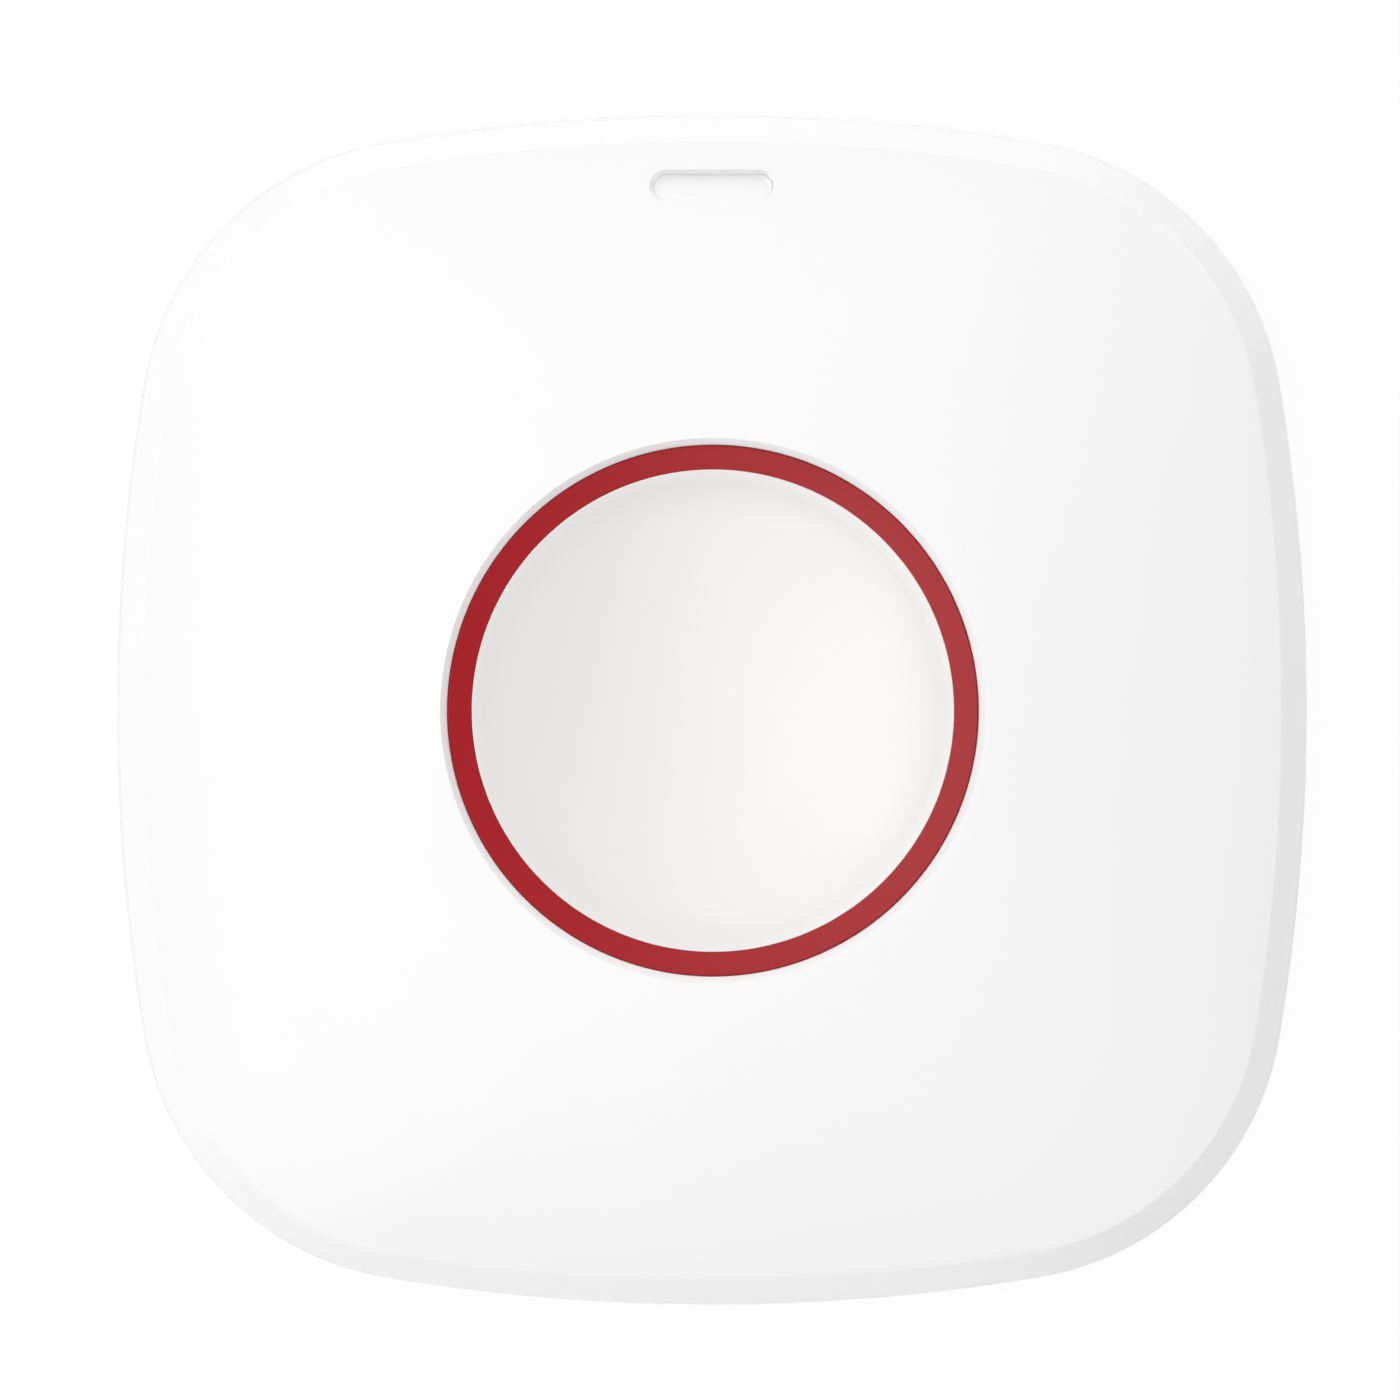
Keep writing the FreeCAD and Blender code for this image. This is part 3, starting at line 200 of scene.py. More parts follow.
def half_across(node):
    """Half the width of a CAD node."""
    low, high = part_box(node)
    return (high.x - low.x) / 2


def level_range(node):
    """Lowest and highest level of a CAD node."""
    low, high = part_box(node)
    return low.z, high.z


class CoverSizes(bpy.types.PropertyGroup):
    """Sizes of the front cover's outside."""

    body_half: length("Half width", "From the middle out to a side", half_across("front_cover"))
    corner_radius: length("Corner radius", "Radius of the outline's corners", 19.23 * MM)
    side_radius: length("Side radius", "Radius of the bowed sides", 129.4 * MM)
    foot_level: length("Foot level", "Where the cover's wall starts", level_range("front_cover")[0])
    crown_rise: length("Crown rise", "From the ring's top to the crown of the whole dome", 0.9 * MM)
    wall: length("Wall", "Thickness of the side wall at its foot", 2.0 * MM)
    draft: length("Draft", "How far the side wall leans in", 0.15 * MM)
    bevel_width: length("Bevel width", "Width of the bevelled edge", 1.65 * MM)
    bevel_height: length("Bevel height", "Height of the bevelled edge", 2.6 * MM)
    face_drop: length("Face drop", "Fall of the dome from its crown to the bevel", 3.2 * MM)
    face_power: plain_number("Face power", "How late the dome falls", 2.6, min=1.0)
    rim_roll: length("Rim roll", "How far the face rolls down where it nears the bevel", 0.12 * MM)
    rim_roll_width: length("Rim roll width", "Width over which the face rolls down", 4.5 * MM)
    rim_round: length("Rim rounding", "Radius where face and bevel meet", 0.3 * MM)
    shoulder_round: length("Shoulder rounding", "Radius where bevel and side meet", 0.9 * MM)
    foot_round: length("Foot rounding", "Radius at the foot of the side wall", 0.15 * MM)
    well_radius: length("Well radius", "Bore that holds the button", 17.36 * MM)
    well_level: length("Well level", "Lower end of the well", 17.6 * MM)
    lip_width: length("Lip width", "Width of the well's chamfer", 0.45 * MM)
    lip_depth: length("Lip depth", "Depth of the well's chamfer", 0.52 * MM)
    lip_round: length("Lip rounding", "Radius at the well's upper edge", 0.05 * MM)
    slot_length: length("Slot length", "Length of the indicator slot", 8.3 * MM)
    slot_width: length("Slot width", "Width of the indicator slot", 2.2 * MM)
    slot_reach: length("Slot reach", "From the middle of the body to the slot", 34.25 * MM)
    slot_recess: length("Slot recess", "From the face down to the light pipe", 0.4 * MM)
    slot_bevel: length("Slot bevel", "Width of the slot's slanted wall", 0.31 * MM)
    slot_round: length("Slot rounding", "Radius at the slot's upper edge", 0.03 * MM)


class ButtonSizes(bpy.types.PropertyGroup):
    """Sizes of the ring and the cap."""

    ring_outer: length("Ring radius", "Outer radius of the ring", 17.33 * MM)
    ring_inner: length("Ring bore", "Radius of the ring's bore", 15.75 * MM)
    ring_fall: length("Ring fall", "How far the ring's top falls towards the cap", 0.22 * MM)
    ring_edge: length("Ring edge", "Size of the ring's shoulder", 0.07 * MM)
    ring_round: length("Ring rounding", "Radius along the ring's shoulder", 0.04 * MM)
    flange_radius: length("Flange radius", "Flange under the cover", half_across("button_ring"))
    flange_height: length("Flange height", "Thickness of the flange", 1.1 * MM)
    flange_round: length("Flange rounding", "Radius along the flange's edges", 0.12 * MM)
    flange_corner: length("Flange corner", "Radius in the corner between flange and ring", 0.15 * MM)
    ledge_inner: length("Ledge bore", "Radius of the bore in the ledge under the cap", 14.59 * MM)
    ledge_height: length("Ledge height", "Height of the ledge above the flange's foot", 1.8 * MM)
    ledge_round: length("Ledge rounding", "Radius along the ledge's edges", 0.06 * MM)
    ledge_corner: length("Ledge corner", "Radius in the corner between ledge and ring", 0.1 * MM)
    bore_round: length("Bore rounding", "Radius along the ring's inner edge", 0.04 * MM)
    cap_radius: length("Cap radius", "Radius of the cap", half_across("button_cap"))
    cap_rim: length("Cap rim", "Level of the cap's rim", level_range("button_cap")[1])
    dish_depth: length("Dish depth", "Depth of the dished top", 1.7 * MM)
    dish_lift: length("Dish lift", "Part of the depth that rises near the rim", 0.17 * MM)
    dish_lift_width: length("Dish lift width", "Width over which the dish lifts to the rim", 3.0 * MM)
    dish_radius: length("Dish radius", "Radius of the dished top", 15.41 * MM)
    rim_start: length("Rim start", "Radius where the dish runs on straight to its rim", 14.9 * MM)
    cap_round: length("Cap rounding", "Radius along the cap's rim", 0.06 * MM)


class InnerSizes(bpy.types.PropertyGroup):
    """Sizes of the return springs and of the small parts' tinned ends."""

    spring_circle: length("Spring circle", "From the button's axis to a spring's", 12.5 * MM)
    spring_radius: length("Spring radius", "Mean radius of the coils", 1.55 * MM)
    spring_wire: length("Spring wire", "Thickness of the wire", 0.4 * MM)
    spring_turns: whole_number("Spring turns", "Turns of each spring", 3)
    spring_count: whole_number("Springs", "Springs round the button", 3)
    end_length: length("End length", "Length of a small part's tinned end", 0.4 * MM)
    end_proud: length("End thickness", "How far a tinned end stands proud", 0.02 * MM)
    end_round: length("End rounding", "Radius along a tinned end's edges", 0.06 * MM)


class FinishColours(bpy.types.PropertyGroup):
    """Colours of the finishes."""

    cover_white: colour("Cover", "White of the front cover", (0.935, 0.935, 0.935))
    back_white: colour("Back", "White of rear cover, door and bracket", (0.86, 0.86, 0.855))
    cap_white: colour("Cap", "Warm white of the cap", (0.852, 0.836, 0.820))
    ring_red: colour("Ring", "Red of the ring", (0.396, 0.014, 0.020))
    pipe_frosted: colour("Light pipe", "Frosted light pipe", (0.93, 0.935, 0.93))
    inner_plastic: colour("Inner plastic", "Natural plastic of frame and carrier", (0.72, 0.71, 0.67))
    black_plastic: colour("Black plastic", "Switches, battery holder and chip", (0.018, 0.018, 0.02))
    stem_plastic: colour("Stem plastic", "Plungers of the switches", (0.55, 0.53, 0.47))
    board_green: colour("Solder mask", "Green of the boards", (0.012, 0.095, 0.035))
    tinned_metal: colour("Tinned metal", "Tinned sheet", (0.66, 0.65, 0.62))
    spring_steel: colour("Spring steel", "Wire of the return springs", (0.50, 0.49, 0.47))
    screw_steel: colour("Screw steel", "Zinc plated screws", (0.60, 0.61, 0.63))
    cell_steel: colour("Cell steel", "Can of the coin cell", (0.68, 0.68, 0.67))
    aerial_copper: colour("Copper", "Enamelled wire of the aerial", (0.60, 0.24, 0.10))
    chip_ceramic: colour("Ceramic", "Chip resistors and capacitors", (0.30, 0.22, 0.13))
    led_lens: colour("Lens", "Lens of the indicator", (0.86, 0.84, 0.72))


class StudioSettings(bpy.types.PropertyGroup):
    """Light, floor and camera."""

    sky: plain_number("Sky", "Strength of the light from all round", 0.05, min=0.0)
    lamps: plain_number("Lamps", "Strength of the soft lamps", 1.0, min=0.0)
    lamp_size: length("Lamp size", "Width of a soft lamp", 0.8)
    lamp_distance: length("Lamp distance", "From the body to a soft lamp", 1.5)
    camera_distance: length("Camera distance", "Distance of the camera from the face", 4.0)
    picture_width: length("Picture width", "Width that the picture shows", 91.69 * MM)
    picture_level: length("Picture level", "Level at which the picture's width is taken", 10.0 * MM)
    lean_x: plain_number("Lean across", "Camera's lean to the left", 0.005)
    lean_y: plain_number("Lean up", "Camera's lean upwards", 0.0043)
    aim_x: length("Aim across", "Picture's middle from the body's middle", -0.79 * MM)
    aim_y: length("Aim up", "Picture's middle from the body's middle", 0.65 * MM)


class Draft:
    """Points and faces of a mesh on the way."""

    def __init__(self):
        self.points = []
        self.faces = []

    def loop(self, points):
        """Adds a row of points and returns their numbers."""
        first = len(self.points)
        self.points.extend(tuple(float(value) for value in point) for point in points)
        return list(range(first, len(self.points)))

    def band(self, first, second):
        """Quads between two closed rows. Their normals point up where the second lies outside."""
        count = len(first)
        for here in range(count):
            after = (here + 1) % count
            self.faces.append((second[here], second[after], first[after], first[here]))

    def bands(self, rows):
        """Quads between rows, one after the other."""
        for first, second in zip(rows, rows[1:]):
            self.band(first, second)

    def sheet(self, rim, holes, inside):
        """Triangles between a convex rim and convex holes, over loose points."""
        numbers = rim + [number for hole in holes for number in hole] + inside
        place = {number: index for index, number in enumerate(numbers)}
        flat = [Vector(self.points[number][:2]) / MM for number in numbers]
        edges = []
        for row in [rim] + holes:
            ends = row[1:] + row[:1]
            edges.extend((place[start], place[end]) for start, end in zip(row, ends))
        _, _, triangles, origins, _, _ = delaunay_2d_cdt(flat, edges, [], 0, 1e-6)
        owner = {}
        for index, hole in enumerate(holes):
            owner.update({number: index for number in hole})
        for triangle in triangles:
            corners = [numbers[origins[corner][0]] for corner in triangle]
            within = {owner.get(corner, -1) for corner in corners}
            if len(within) == 1 and -1 not in within:
                continue
            self.faces.append(tuple(corners))

    def keep(self, node, wanted):
        """Copies the faces of a CAD node that a test of their centres wants."""
        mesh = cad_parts[node].data
        centres = np.array([polygon.center[:] for polygon in mesh.polygons])
        numbers = {}
        for polygon, good in zip(mesh.polygons, wanted(centres)):
            if not good:
                continue
            for vertex in polygon.vertices:
                if vertex not in numbers:
                    numbers[vertex] = len(self.points)
                    self.points.append(tuple(mesh.vertices[vertex].co))
            self.faces.append(tuple(numbers[vertex] for vertex in polygon.vertices))

    def piece(self, name, body, *nodes):
        """The object, on its body, in the place of the CAD nodes."""
        mesh = bpy.data.meshes.new(name)
        mesh.from_pydata(self.points, [], self.faces)
        mesh.validate()
        mesh.shade_smooth()
        mesh.set_sharp_from_angle(angle=math.radians(SHARP_EDGE))
        made = bpy.data.objects.new(name, mesh)
        bpy.context.scene.collection.objects.link(made)
        weighted = made.modifiers.new("Face weighted normals", "WEIGHTED_NORMAL")
        weighted.mode = "FACE_AREA"
        weighted.weight = 100
        weighted.keep_sharp = True
        if nodes:
            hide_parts(*nodes)
        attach(made, body)
        return made


def rounded(corners):
    """Path through corners, each given by two places and a rounding radius."""
    path = [np.array(corners[0][:2])]
    for before, corner, after in zip(corners, corners[1:], corners[2:]):
        point = np.array(corner[:2])
        radius = corner[2]
        back = np.array(before[:2]) - point
        ahead = np.array(after[:2]) - point
        back = back / np.linalg.norm(back)
        ahead = ahead / np.linalg.norm(ahead)
        half_angle = math.acos(max(-1.0, min(1.0, float(back @ ahead)))) / 2
        if radius <= 0 or half_angle > math.radians(NEARLY_STRAIGHT):
            path.append(point)
            continue
        middle = (back + ahead) / np.linalg.norm(back + ahead)
        centre = point + middle * radius / math.sin(half_angle)
        start = point + back * radius / math.tan(half_angle) - centre
        end = point + ahead * radius / math.tan(half_angle) - centre
        sweep = math.pi - 2 * half_angle
        for step in range(ROUND_STEPS + 1):
            share = step / ROUND_STEPS
            first = math.sin((1 - share) * sweep) / math.sin(sweep)
            second = math.sin(share * sweep) / math.sin(sweep)
            path.append(centre + start * first + end * second)
    path.append(np.array(corners[-1][:2]))
    return path


def side_turn(sizes):
    """Half the turn of a bowed side."""
    across = sizes.body_half - sizes.side_radius
    span = sizes.side_radius - sizes.corner_radius
    return math.asin((across + math.sqrt(2 * span**2 - across**2)) / 2 / span)


class Outline:
    """The body's outline and the sections of its face, all sampled at the same directions."""

    def __init__(self, sizes):
        self.turn = side_turn(sizes)
        self.sizes = sizes
        self.crown = level_range("button_ring")[1] + sizes.crown_rise
        normals = []
        middles = []
        on_side = []
        for quarter in range(4):
            axis = quarter * math.pi / 2
            for step in range(-SIDE_STEPS, SIDE_STEPS):
                normals.append(axis + self.turn * step / SIDE_STEPS)
                middles.append(axis)
                on_side.append(True)
            for step in range(CORNER_STEPS):
                span = math.pi / 2 - 2 * self.turn
                normals.append(axis + self.turn + span * step / CORNER_STEPS)
                middles.append(axis + math.pi / 4)
                on_side.append(False)
        self.normals = np.column_stack((np.cos(normals), np.sin(normals)))
        self.middles = np.column_stack((np.cos(middles), np.sin(middles)))
        self.on_side = np.array(on_side)

    def arcs(self, half, corner):
        """Side radius and the places of the arcs' centres."""
        reach = (half - corner) / (1 + math.sin(self.turn) - math.cos(self.turn))
        side = corner + reach
        return side, half - side, reach * math.sin(self.turn)

    def section(self, half, corner):
        """Points of a bowed square with this half width and corner radius."""
        side, side_place, corner_place = self.arcs(half, corner)
        radius = np.where(self.on_side, side, corner)
        place = np.where(self.on_side, side_place, corner_place * math.sqrt(2))
        return self.middles * place[:, None] + self.normals * radius[:, None]

    def inset(self, distance):
        """The body's outline moved inwards."""
        return self.section(self.sizes.body_half - distance, self.sizes.corner_radius - distance)

    def outside(self, points, half, corner):
        """How far points lie outside sections, negative inside."""
        side, side_place, corner_place = self.arcs(half, corner)
        folded = np.sort(np.abs(points[:, :2]), axis=1)[:, ::-1]
        from_corner = folded - np.reshape(corner_place, (-1, 1))
        beyond = np.arctan2(from_corner[:, 1], from_corner[:, 0]) > self.turn
        to_corner = np.hypot(from_corner[:, 0], from_corner[:, 1]) - corner
        to_side = np.hypot(folded[:, 0] - side_place, folded[:, 1]) - side
        return np.where(beyond, to_corner, to_side)

    def rim(self):
        """Half width and corner radius of the face where the bevel starts."""
        edge = self.sizes.draft + self.sizes.bevel_width
        return self.sizes.body_half - edge, self.sizes.corner_radius - edge

    def face_section(self, share):
        """Half width and corner radius of a section, from the well at 0 to the rim at 1."""
        start = self.sizes.well_radius - self.sizes.lip_width
        half_end, corner_end = self.rim()
        return start + (half_end - start) * share, start + (corner_end - start) * share

    def face_level(self, points):
        """Level of the domed face over points."""
        points = np.asarray(points, float)
        low = np.zeros(len(points))
        high = np.full(len(points), PAST_RIM)
        for _ in range(LEVEL_HALVINGS):
            share = (low + high) / 2
            outside = self.outside(points, *self.face_section(share)) > 0
            low = np.where(outside, share, low)
            high = np.where(outside, high, share)
        half = self.face_section((low + high) / 2)[0]
        rim_half = self.rim()[0]
        near_rim = np.maximum(1 - (rim_half - half) / self.sizes.rim_roll_width, 0)
        fall = self.sizes.face_drop * (half / rim_half) ** self.sizes.face_power
        return self.crown - fall - self.sizes.rim_roll * near_rim**2

    def on_face(self, points, below=0.0):
        """Points lifted to the face, or a little under it."""
        return np.column_stack((points[:, :2], self.face_level(points) - below))


def circle(radius):
    """Points of a circle about the button's axis."""
    angles = np.arange(TURN_STEPS) * 2 * math.pi / TURN_STEPS
    return np.column_stack((radius * np.cos(angles), radius * np.sin(angles)))


def slot_outline(sizes, margin):
    """The indicator slot's outline, moved outwards by a margin."""
    radius = sizes.slot_width / 2 + margin
    run = (sizes.slot_length - sizes.slot_width) / 2
    points = []
    for end in (1, -1):
        for step in range(SLOT_END_STEPS + 1):
            angle = -end * math.pi / 2 + math.pi * step / SLOT_END_STEPS
            across = end * run + radius * math.cos(angle)
            points.append((across, sizes.slot_reach + radius * math.sin(angle)))
        for step in range(1, SLOT_RUN_STEPS):
            across = end * run * (1 - 2 * step / SLOT_RUN_STEPS)
            points.append((across, sizes.slot_reach + end * radius))
    return np.array(points)


def from_slot(sizes, points):
    """How far points lie outside the indicator slot, negative inside."""
    across = np.maximum(np.abs(points[:, 0]) - (sizes.slot_length - sizes.slot_width) / 2, 0)
    return np.hypot(across, points[:, 1] - sizes.slot_reach) - sizes.slot_width / 2


def level_row(points, level):
    """Flat points at a level."""
    return np.column_stack((points, np.full(len(points), level)))


def cover_side(outline):
    """The cover's side from the face to its foot, as insets and levels."""
    sizes = outline.sizes
    edge = sizes.draft + sizes.bevel_width
    rim_level = outline.crown - sizes.face_drop - sizes.rim_roll
    slope = sizes.face_drop * sizes.face_power / outline.rim()[0]
    slope += 2 * sizes.rim_roll / sizes.rim_roll_width
    return rounded(
        [
            (edge + FACE_LEAD, rim_level + slope * FACE_LEAD, 0),
            (edge, rim_level, sizes.rim_round),
            (sizes.draft, rim_level + sizes.rim_roll - sizes.bevel_height, sizes.shoulder_round),
            (0, sizes.foot_level, sizes.foot_round),
            (sizes.wall, sizes.foot_level, 0),
        ]
    )[1:]


def cover_well(sizes, lip_level):
    """The well from its lower end to the face, as radii and depths under the lip."""
    lip = sizes.well_radius + sizes.lip_width
    return rounded(
        [
            (sizes.well_radius, sizes.well_level - lip_level, 0),
            (sizes.well_radius, -sizes.lip_depth, sizes.lip_round),
            (lip, 0, sizes.lip_round),
            (lip + LIP_LEAD, -LIP_LEAD_SLOPE * LIP_LEAD, 0),
        ]
    )[:-1]


def slot_wall(sizes):
    """The slot's slanted wall from the light pipe to the face, as margins and depths."""
    path = rounded(
        [
            (-sizes.slot_bevel, -sizes.slot_recess, 0),
            (0, 0, sizes.slot_round),
            (sizes.slot_bevel, 0, 0),
        ]
    )[:-1]
    return [(margin, -level) for margin, level in path]


def build_cover(sizes):
    """Outside of the front cover in fine quads, with the CAD model's own inside."""
    outline = Outline(sizes)
    draft = Draft()

    side_rows = []
    for number, (inset, level) in enumerate(cover_side(outline)):
        points = outline.inset(inset)
        row = outline.on_face(points) if number == 0 else level_row(points, level)
        side_rows.append(draft.loop(row))
    draft.bands(side_rows)

    lip = circle(sizes.well_radius + sizes.lip_width)
    lip_levels = outline.face_level(lip)
    well_rows = []
    for radius, depth in cover_well(sizes, lip_levels.mean()):
        well_rows.append(draft.loop(np.column_stack((circle(radius), lip_levels + depth))))
    draft.bands(well_rows)

    window = slot_outline(sizes, -sizes.slot_bevel)
    slot_rows = [draft.loop(level_row(window, pad_level()))]
    for margin, below in slot_wall(sizes):
        slot_rows.append(draft.loop(outline.on_face(slot_outline(sizes, margin), below)))
    draft.bands(slot_rows)

    inside = []
    for step in range(FACE_RINGS):
        place = FIRST_RING + (LAST_RING - FIRST_RING) * step / (FACE_RINGS - 1)
        points = outline.section(*outline.face_section(place))
        points = points[from_slot(sizes, points) > sizes.slot_round + SLOT_CLEARANCE]
        inside += draft.loop(outline.on_face(points))
    draft.sheet(side_rows[0], [well_rows[-1], slot_rows[-1]], inside)

    def is_inside(centres):
        """Whether faces belong to the hollow inside, under the new outside."""
        depth = -outline.outside(centres, sizes.body_half, sizes.corner_radius)
        from_well = np.hypot(centres[:, 0], centres[:, 1]) - sizes.well_radius - sizes.lip_width
        near = (depth < sizes.wall - COVER_MARGIN) | (from_well < COVER_MARGIN)
        near |= from_slot(sizes, centres) < COVER_MARGIN
        under = outline.face_level(centres) - centres[:, 2]
        return ~near & (under > sizes.wall / 2)

    draft.keep("front_cover", is_inside)
    return draft.piece("front_cover_shell", "housing", "front_cover")


def pad_level():
    """Level of the pad under the indicator slot, on which the light pipe's flange bears."""
    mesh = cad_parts["light_pipe"].data
    levels = sorted({round(vertex.co.z, LEVEL_DIGITS) for vertex in mesh.vertices})
    return levels[-2]


def turned(draft, path):
    """Turns a path of radii and levels about the button's axis."""
    rows = [draft.loop(level_row(circle(radius), level)) for radius, level in path]
    draft.bands(rows)
    return rows


def build_ring(sizes):
    """The red ring with its flange and the ledge under the cap."""
    low, top = level_range("button_ring")
    flange = low + sizes.flange_height
    ledge = low + sizes.ledge_height
    path = rounded(
        [
            (sizes.ledge_inner, (low + ledge) / 2, 0),
            (sizes.ledge_inner, ledge, sizes.ledge_round),
            (sizes.ring_inner, ledge, sizes.ledge_corner),
            (sizes.ring_inner, top - sizes.ring_fall, sizes.bore_round),
            (sizes.ring_outer - sizes.ring_edge, top, sizes.ring_round),
            (sizes.ring_outer, top - sizes.ring_edge, sizes.ring_round),
            (sizes.ring_outer, flange, sizes.flange_corner),
            (sizes.flange_radius, flange, sizes.flange_round),
            (sizes.flange_radius, low, sizes.flange_round),
            (sizes.ledge_inner, low, sizes.ledge_round),
            (sizes.ledge_inner, (low + ledge) / 2, 0),
        ]
    )[:-1]
    draft = Draft()
    rows = turned(draft, path)
    draft.band(rows[-1], rows[0])
    return draft.piece("red_ring", "button", "button_ring")


def build_cap(sizes):
    """The dished cap with a rounded rim, and the CAD model's own underside."""
    depth = sizes.dish_depth - sizes.dish_lift
    sphere = (sizes.dish_radius**2 + depth**2) / (2 * depth)
    centre_level = sizes.cap_rim - sizes.dish_depth

    def dish(radius):
        """Level of the dished top at a radius."""
        near_rim = np.maximum(1 - (sizes.dish_radius - radius) / sizes.dish_lift_width, 0)
        lift = sizes.dish_lift * near_rim**3
        return centre_level + sphere - np.sqrt(sphere**2 - radius**2) + lift

    low = level_range("button_ring")[0] + sizes.ledge_height
    start = sizes.rim_start
    slope = (dish(start) - dish(start - SLOPE_STEP)) / SLOPE_STEP
    edge = sizes.cap_radius - start
    radii = np.linspace(start / DISH_RINGS, start - DISH_CLEARANCE, DISH_RINGS)
    path = [(radius, dish(radius)) for radius in radii]
    path += rounded(
        [
            (start, dish(start), 0),
            (sizes.cap_radius, dish(start) + slope * edge, sizes.cap_round),
            (sizes.cap_radius, low, 0),
        ]
    )
    draft = Draft()
    first = turned(draft, path)[0]
    middle = draft.loop([(0, 0, centre_level)])[0]
    for here, after in zip(first, first[1:] + first[:1]):
        draft.faces.append((here, after, middle))

    def is_under(centres):
        """Whether faces belong to the underside."""
        radius = np.hypot(centres[:, 0], centres[:, 1])
        level = centres[:, 2]
        on_wall = (radius > sizes.cap_radius - CAP_WALL_MARGIN) & (level > low + CAP_FOOT_MARGIN)
        return ~on_wall & (level < dish(np.minimum(radius, sizes.dish_radius)) - CAP_TOP_MARGIN)

    draft.keep("button_cap", is_under)
    return draft.piece("dished_cap", "button", "button_cap")


def wire(draft, path, thickness):
    """A round wire along a row of points, closed at both ends."""
    along = np.gradient(path, axis=0)
    along /= np.linalg.norm(along, axis=1)[:, None]
    across = np.cross(along, (0.0, 0.0, 1.0))
    across /= np.linalg.norm(across, axis=1)[:, None]
    over = np.cross(across, along)
    turn = np.arange(WIRE_STEPS) * 2 * math.pi / WIRE_STEPS
    rows = []
    for middle, side, up in zip(path, across, over):
        around = np.outer(np.cos(turn), side) + np.outer(np.sin(turn), up)
        rows.append(draft.loop(middle + around * thickness / 2))
    draft.bands(rows)
    draft.faces.append(tuple(rows[0]))
    draft.faces.append(tuple(reversed(rows[-1])))


def build_springs(sizes):
    """Return springs of round wire, their end turns laid closer."""
    low, high = level_range("return_springs")
    steps = sizes.spring_turns * COIL_STEPS
    share = np.arange(steps + 1) / steps
    turn = share * sizes.spring_turns * 2 * math.pi
    closer = share - END_TURN_SHARE * np.sin(2 * math.pi * share) / (2 * math.pi)
    level = low + sizes.spring_wire / 2 + (high - low - sizes.spring_wire) * closer
    draft = Draft()
    for number in range(sizes.spring_count):
        place = math.pi / 2 + number * 2 * math.pi / sizes.spring_count
        x = sizes.spring_circle * math.cos(place) + sizes.spring_radius * np.cos(turn)
        y = sizes.spring_circle * math.sin(place) + sizes.spring_radius * np.sin(turn)
        wire(draft, np.column_stack((x, y, level)), sizes.spring_wire)
    made = draft.piece("return_coils", "housing", "return_springs")
    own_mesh(made)
    return made


def loose_boxes(node):
    """Lowest and highest corners of each loose solid in a CAD node."""
    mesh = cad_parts[node].data
    points = np.array([vertex.co for vertex in mesh.vertices])
    places, owner = np.unique(np.round(points, PLACE_DIGITS), axis=0, return_inverse=True)
    owner = owner.ravel()
    faces = [[owner[number] for number in polygon.vertices] for polygon in mesh.polygons]
    label = np.arange(len(places))
    changed = True
    while changed:
        before = label.copy()
        for face in faces:
            label[face] = label[face].min()
        changed = (before != label).any()
    solids = [places[label == mark] for mark in np.unique(label)]
    return [(solid.min(axis=0), solid.max(axis=0)) for solid in solids]


def rounded_box(draft, low, high, radius):
    """A closed box with round edges, built of rows from its foot to its top."""
    middle = (low + high) / 2
    half = (high - low) / 2
    turn = np.linspace(0, math.pi / 2, ROUND_STEPS)
    levels = [(low[2], 0.0)]
    for angle in turn:
        levels.append((high[2] - radius + radius * math.sin(angle), radius * (1 - math.cos(angle))))
    rows = []
    for level, inset in levels:
        row = []
        for quarter, (way_x, way_y) in enumerate(((1, 1), (-1, 1), (-1, -1), (1, -1))):
            for angle in turn + quarter * math.pi / 2:
                x = middle[0] + way_x * (half[0] - radius) + (radius - inset) * math.cos(angle)
                y = middle[1] + way_y * (half[1] - radius) + (radius - inset) * math.sin(angle)
                row.append((x, y, level))
        rows.append(draft.loop(row))
    for first, second in zip(rows, rows[1:]):
        draft.band(second, first)
    draft.faces.append(tuple(reversed(rows[0])))
    draft.faces.append(tuple(rows[-1]))


def build_ends(sizes):
    """Tinned ends on the small parts of the board."""
    draft = Draft()
    for low, high in loose_boxes("board_components"):
        along = int(high[1] - low[1] > high[0] - low[0])
        proud = np.array((sizes.end_proud, sizes.end_proud, 0.0))
        low = low - proud
        high = high + proud
        high[2] += sizes.end_proud
        near = high.copy()
        near[along] = low[along] + sizes.end_length
        far = low.copy()
        far[along] = high[along] - sizes.end_length
        rounded_box(draft, low, near, sizes.end_round)
        rounded_box(draft, far, high, sizes.end_round)
    return draft.piece("tinned_ends", "housing")


def socket(group, name, kind, way, default=None):
    """A named socket of a shader group."""
    made = group.interface.new_socket(name=name, in_out=way, socket_type=kind)
    if default is not None:
        made.default_value = default
    return made


def new_group(name):
    """An empty shader group with its two ends."""
    group = bpy.data.node_groups.new(name, "ShaderNodeTree")
    return group, group.nodes.new("NodeGroupInput"), group.nodes.new("NodeGroupOutput")


def noise(nodes, links, place, scale, detail=2.0, rough=0.5):
    """A noise whose place and scale come from sockets."""
    made = nodes.new("ShaderNodeTexNoise")
    made.inputs["Detail"].default_value = detail
    made.inputs["Roughness"].default_value = rough
    links.new(place, made.inputs["Vector"])
    links.new(scale, made.inputs["Scale"])
    return made.outputs["Fac"]


def math_node(nodes, links, operation, first, second):
    """Result of an operation on two sockets or numbers."""
    made = nodes.new("ShaderNodeMath")
    made.operation = operation
    for value, target in zip((first, second), made.inputs):
        if isinstance(value, (int, float)):
            target.default_value = value
        else:
            links.new(value, target)
    return made.outputs[0]


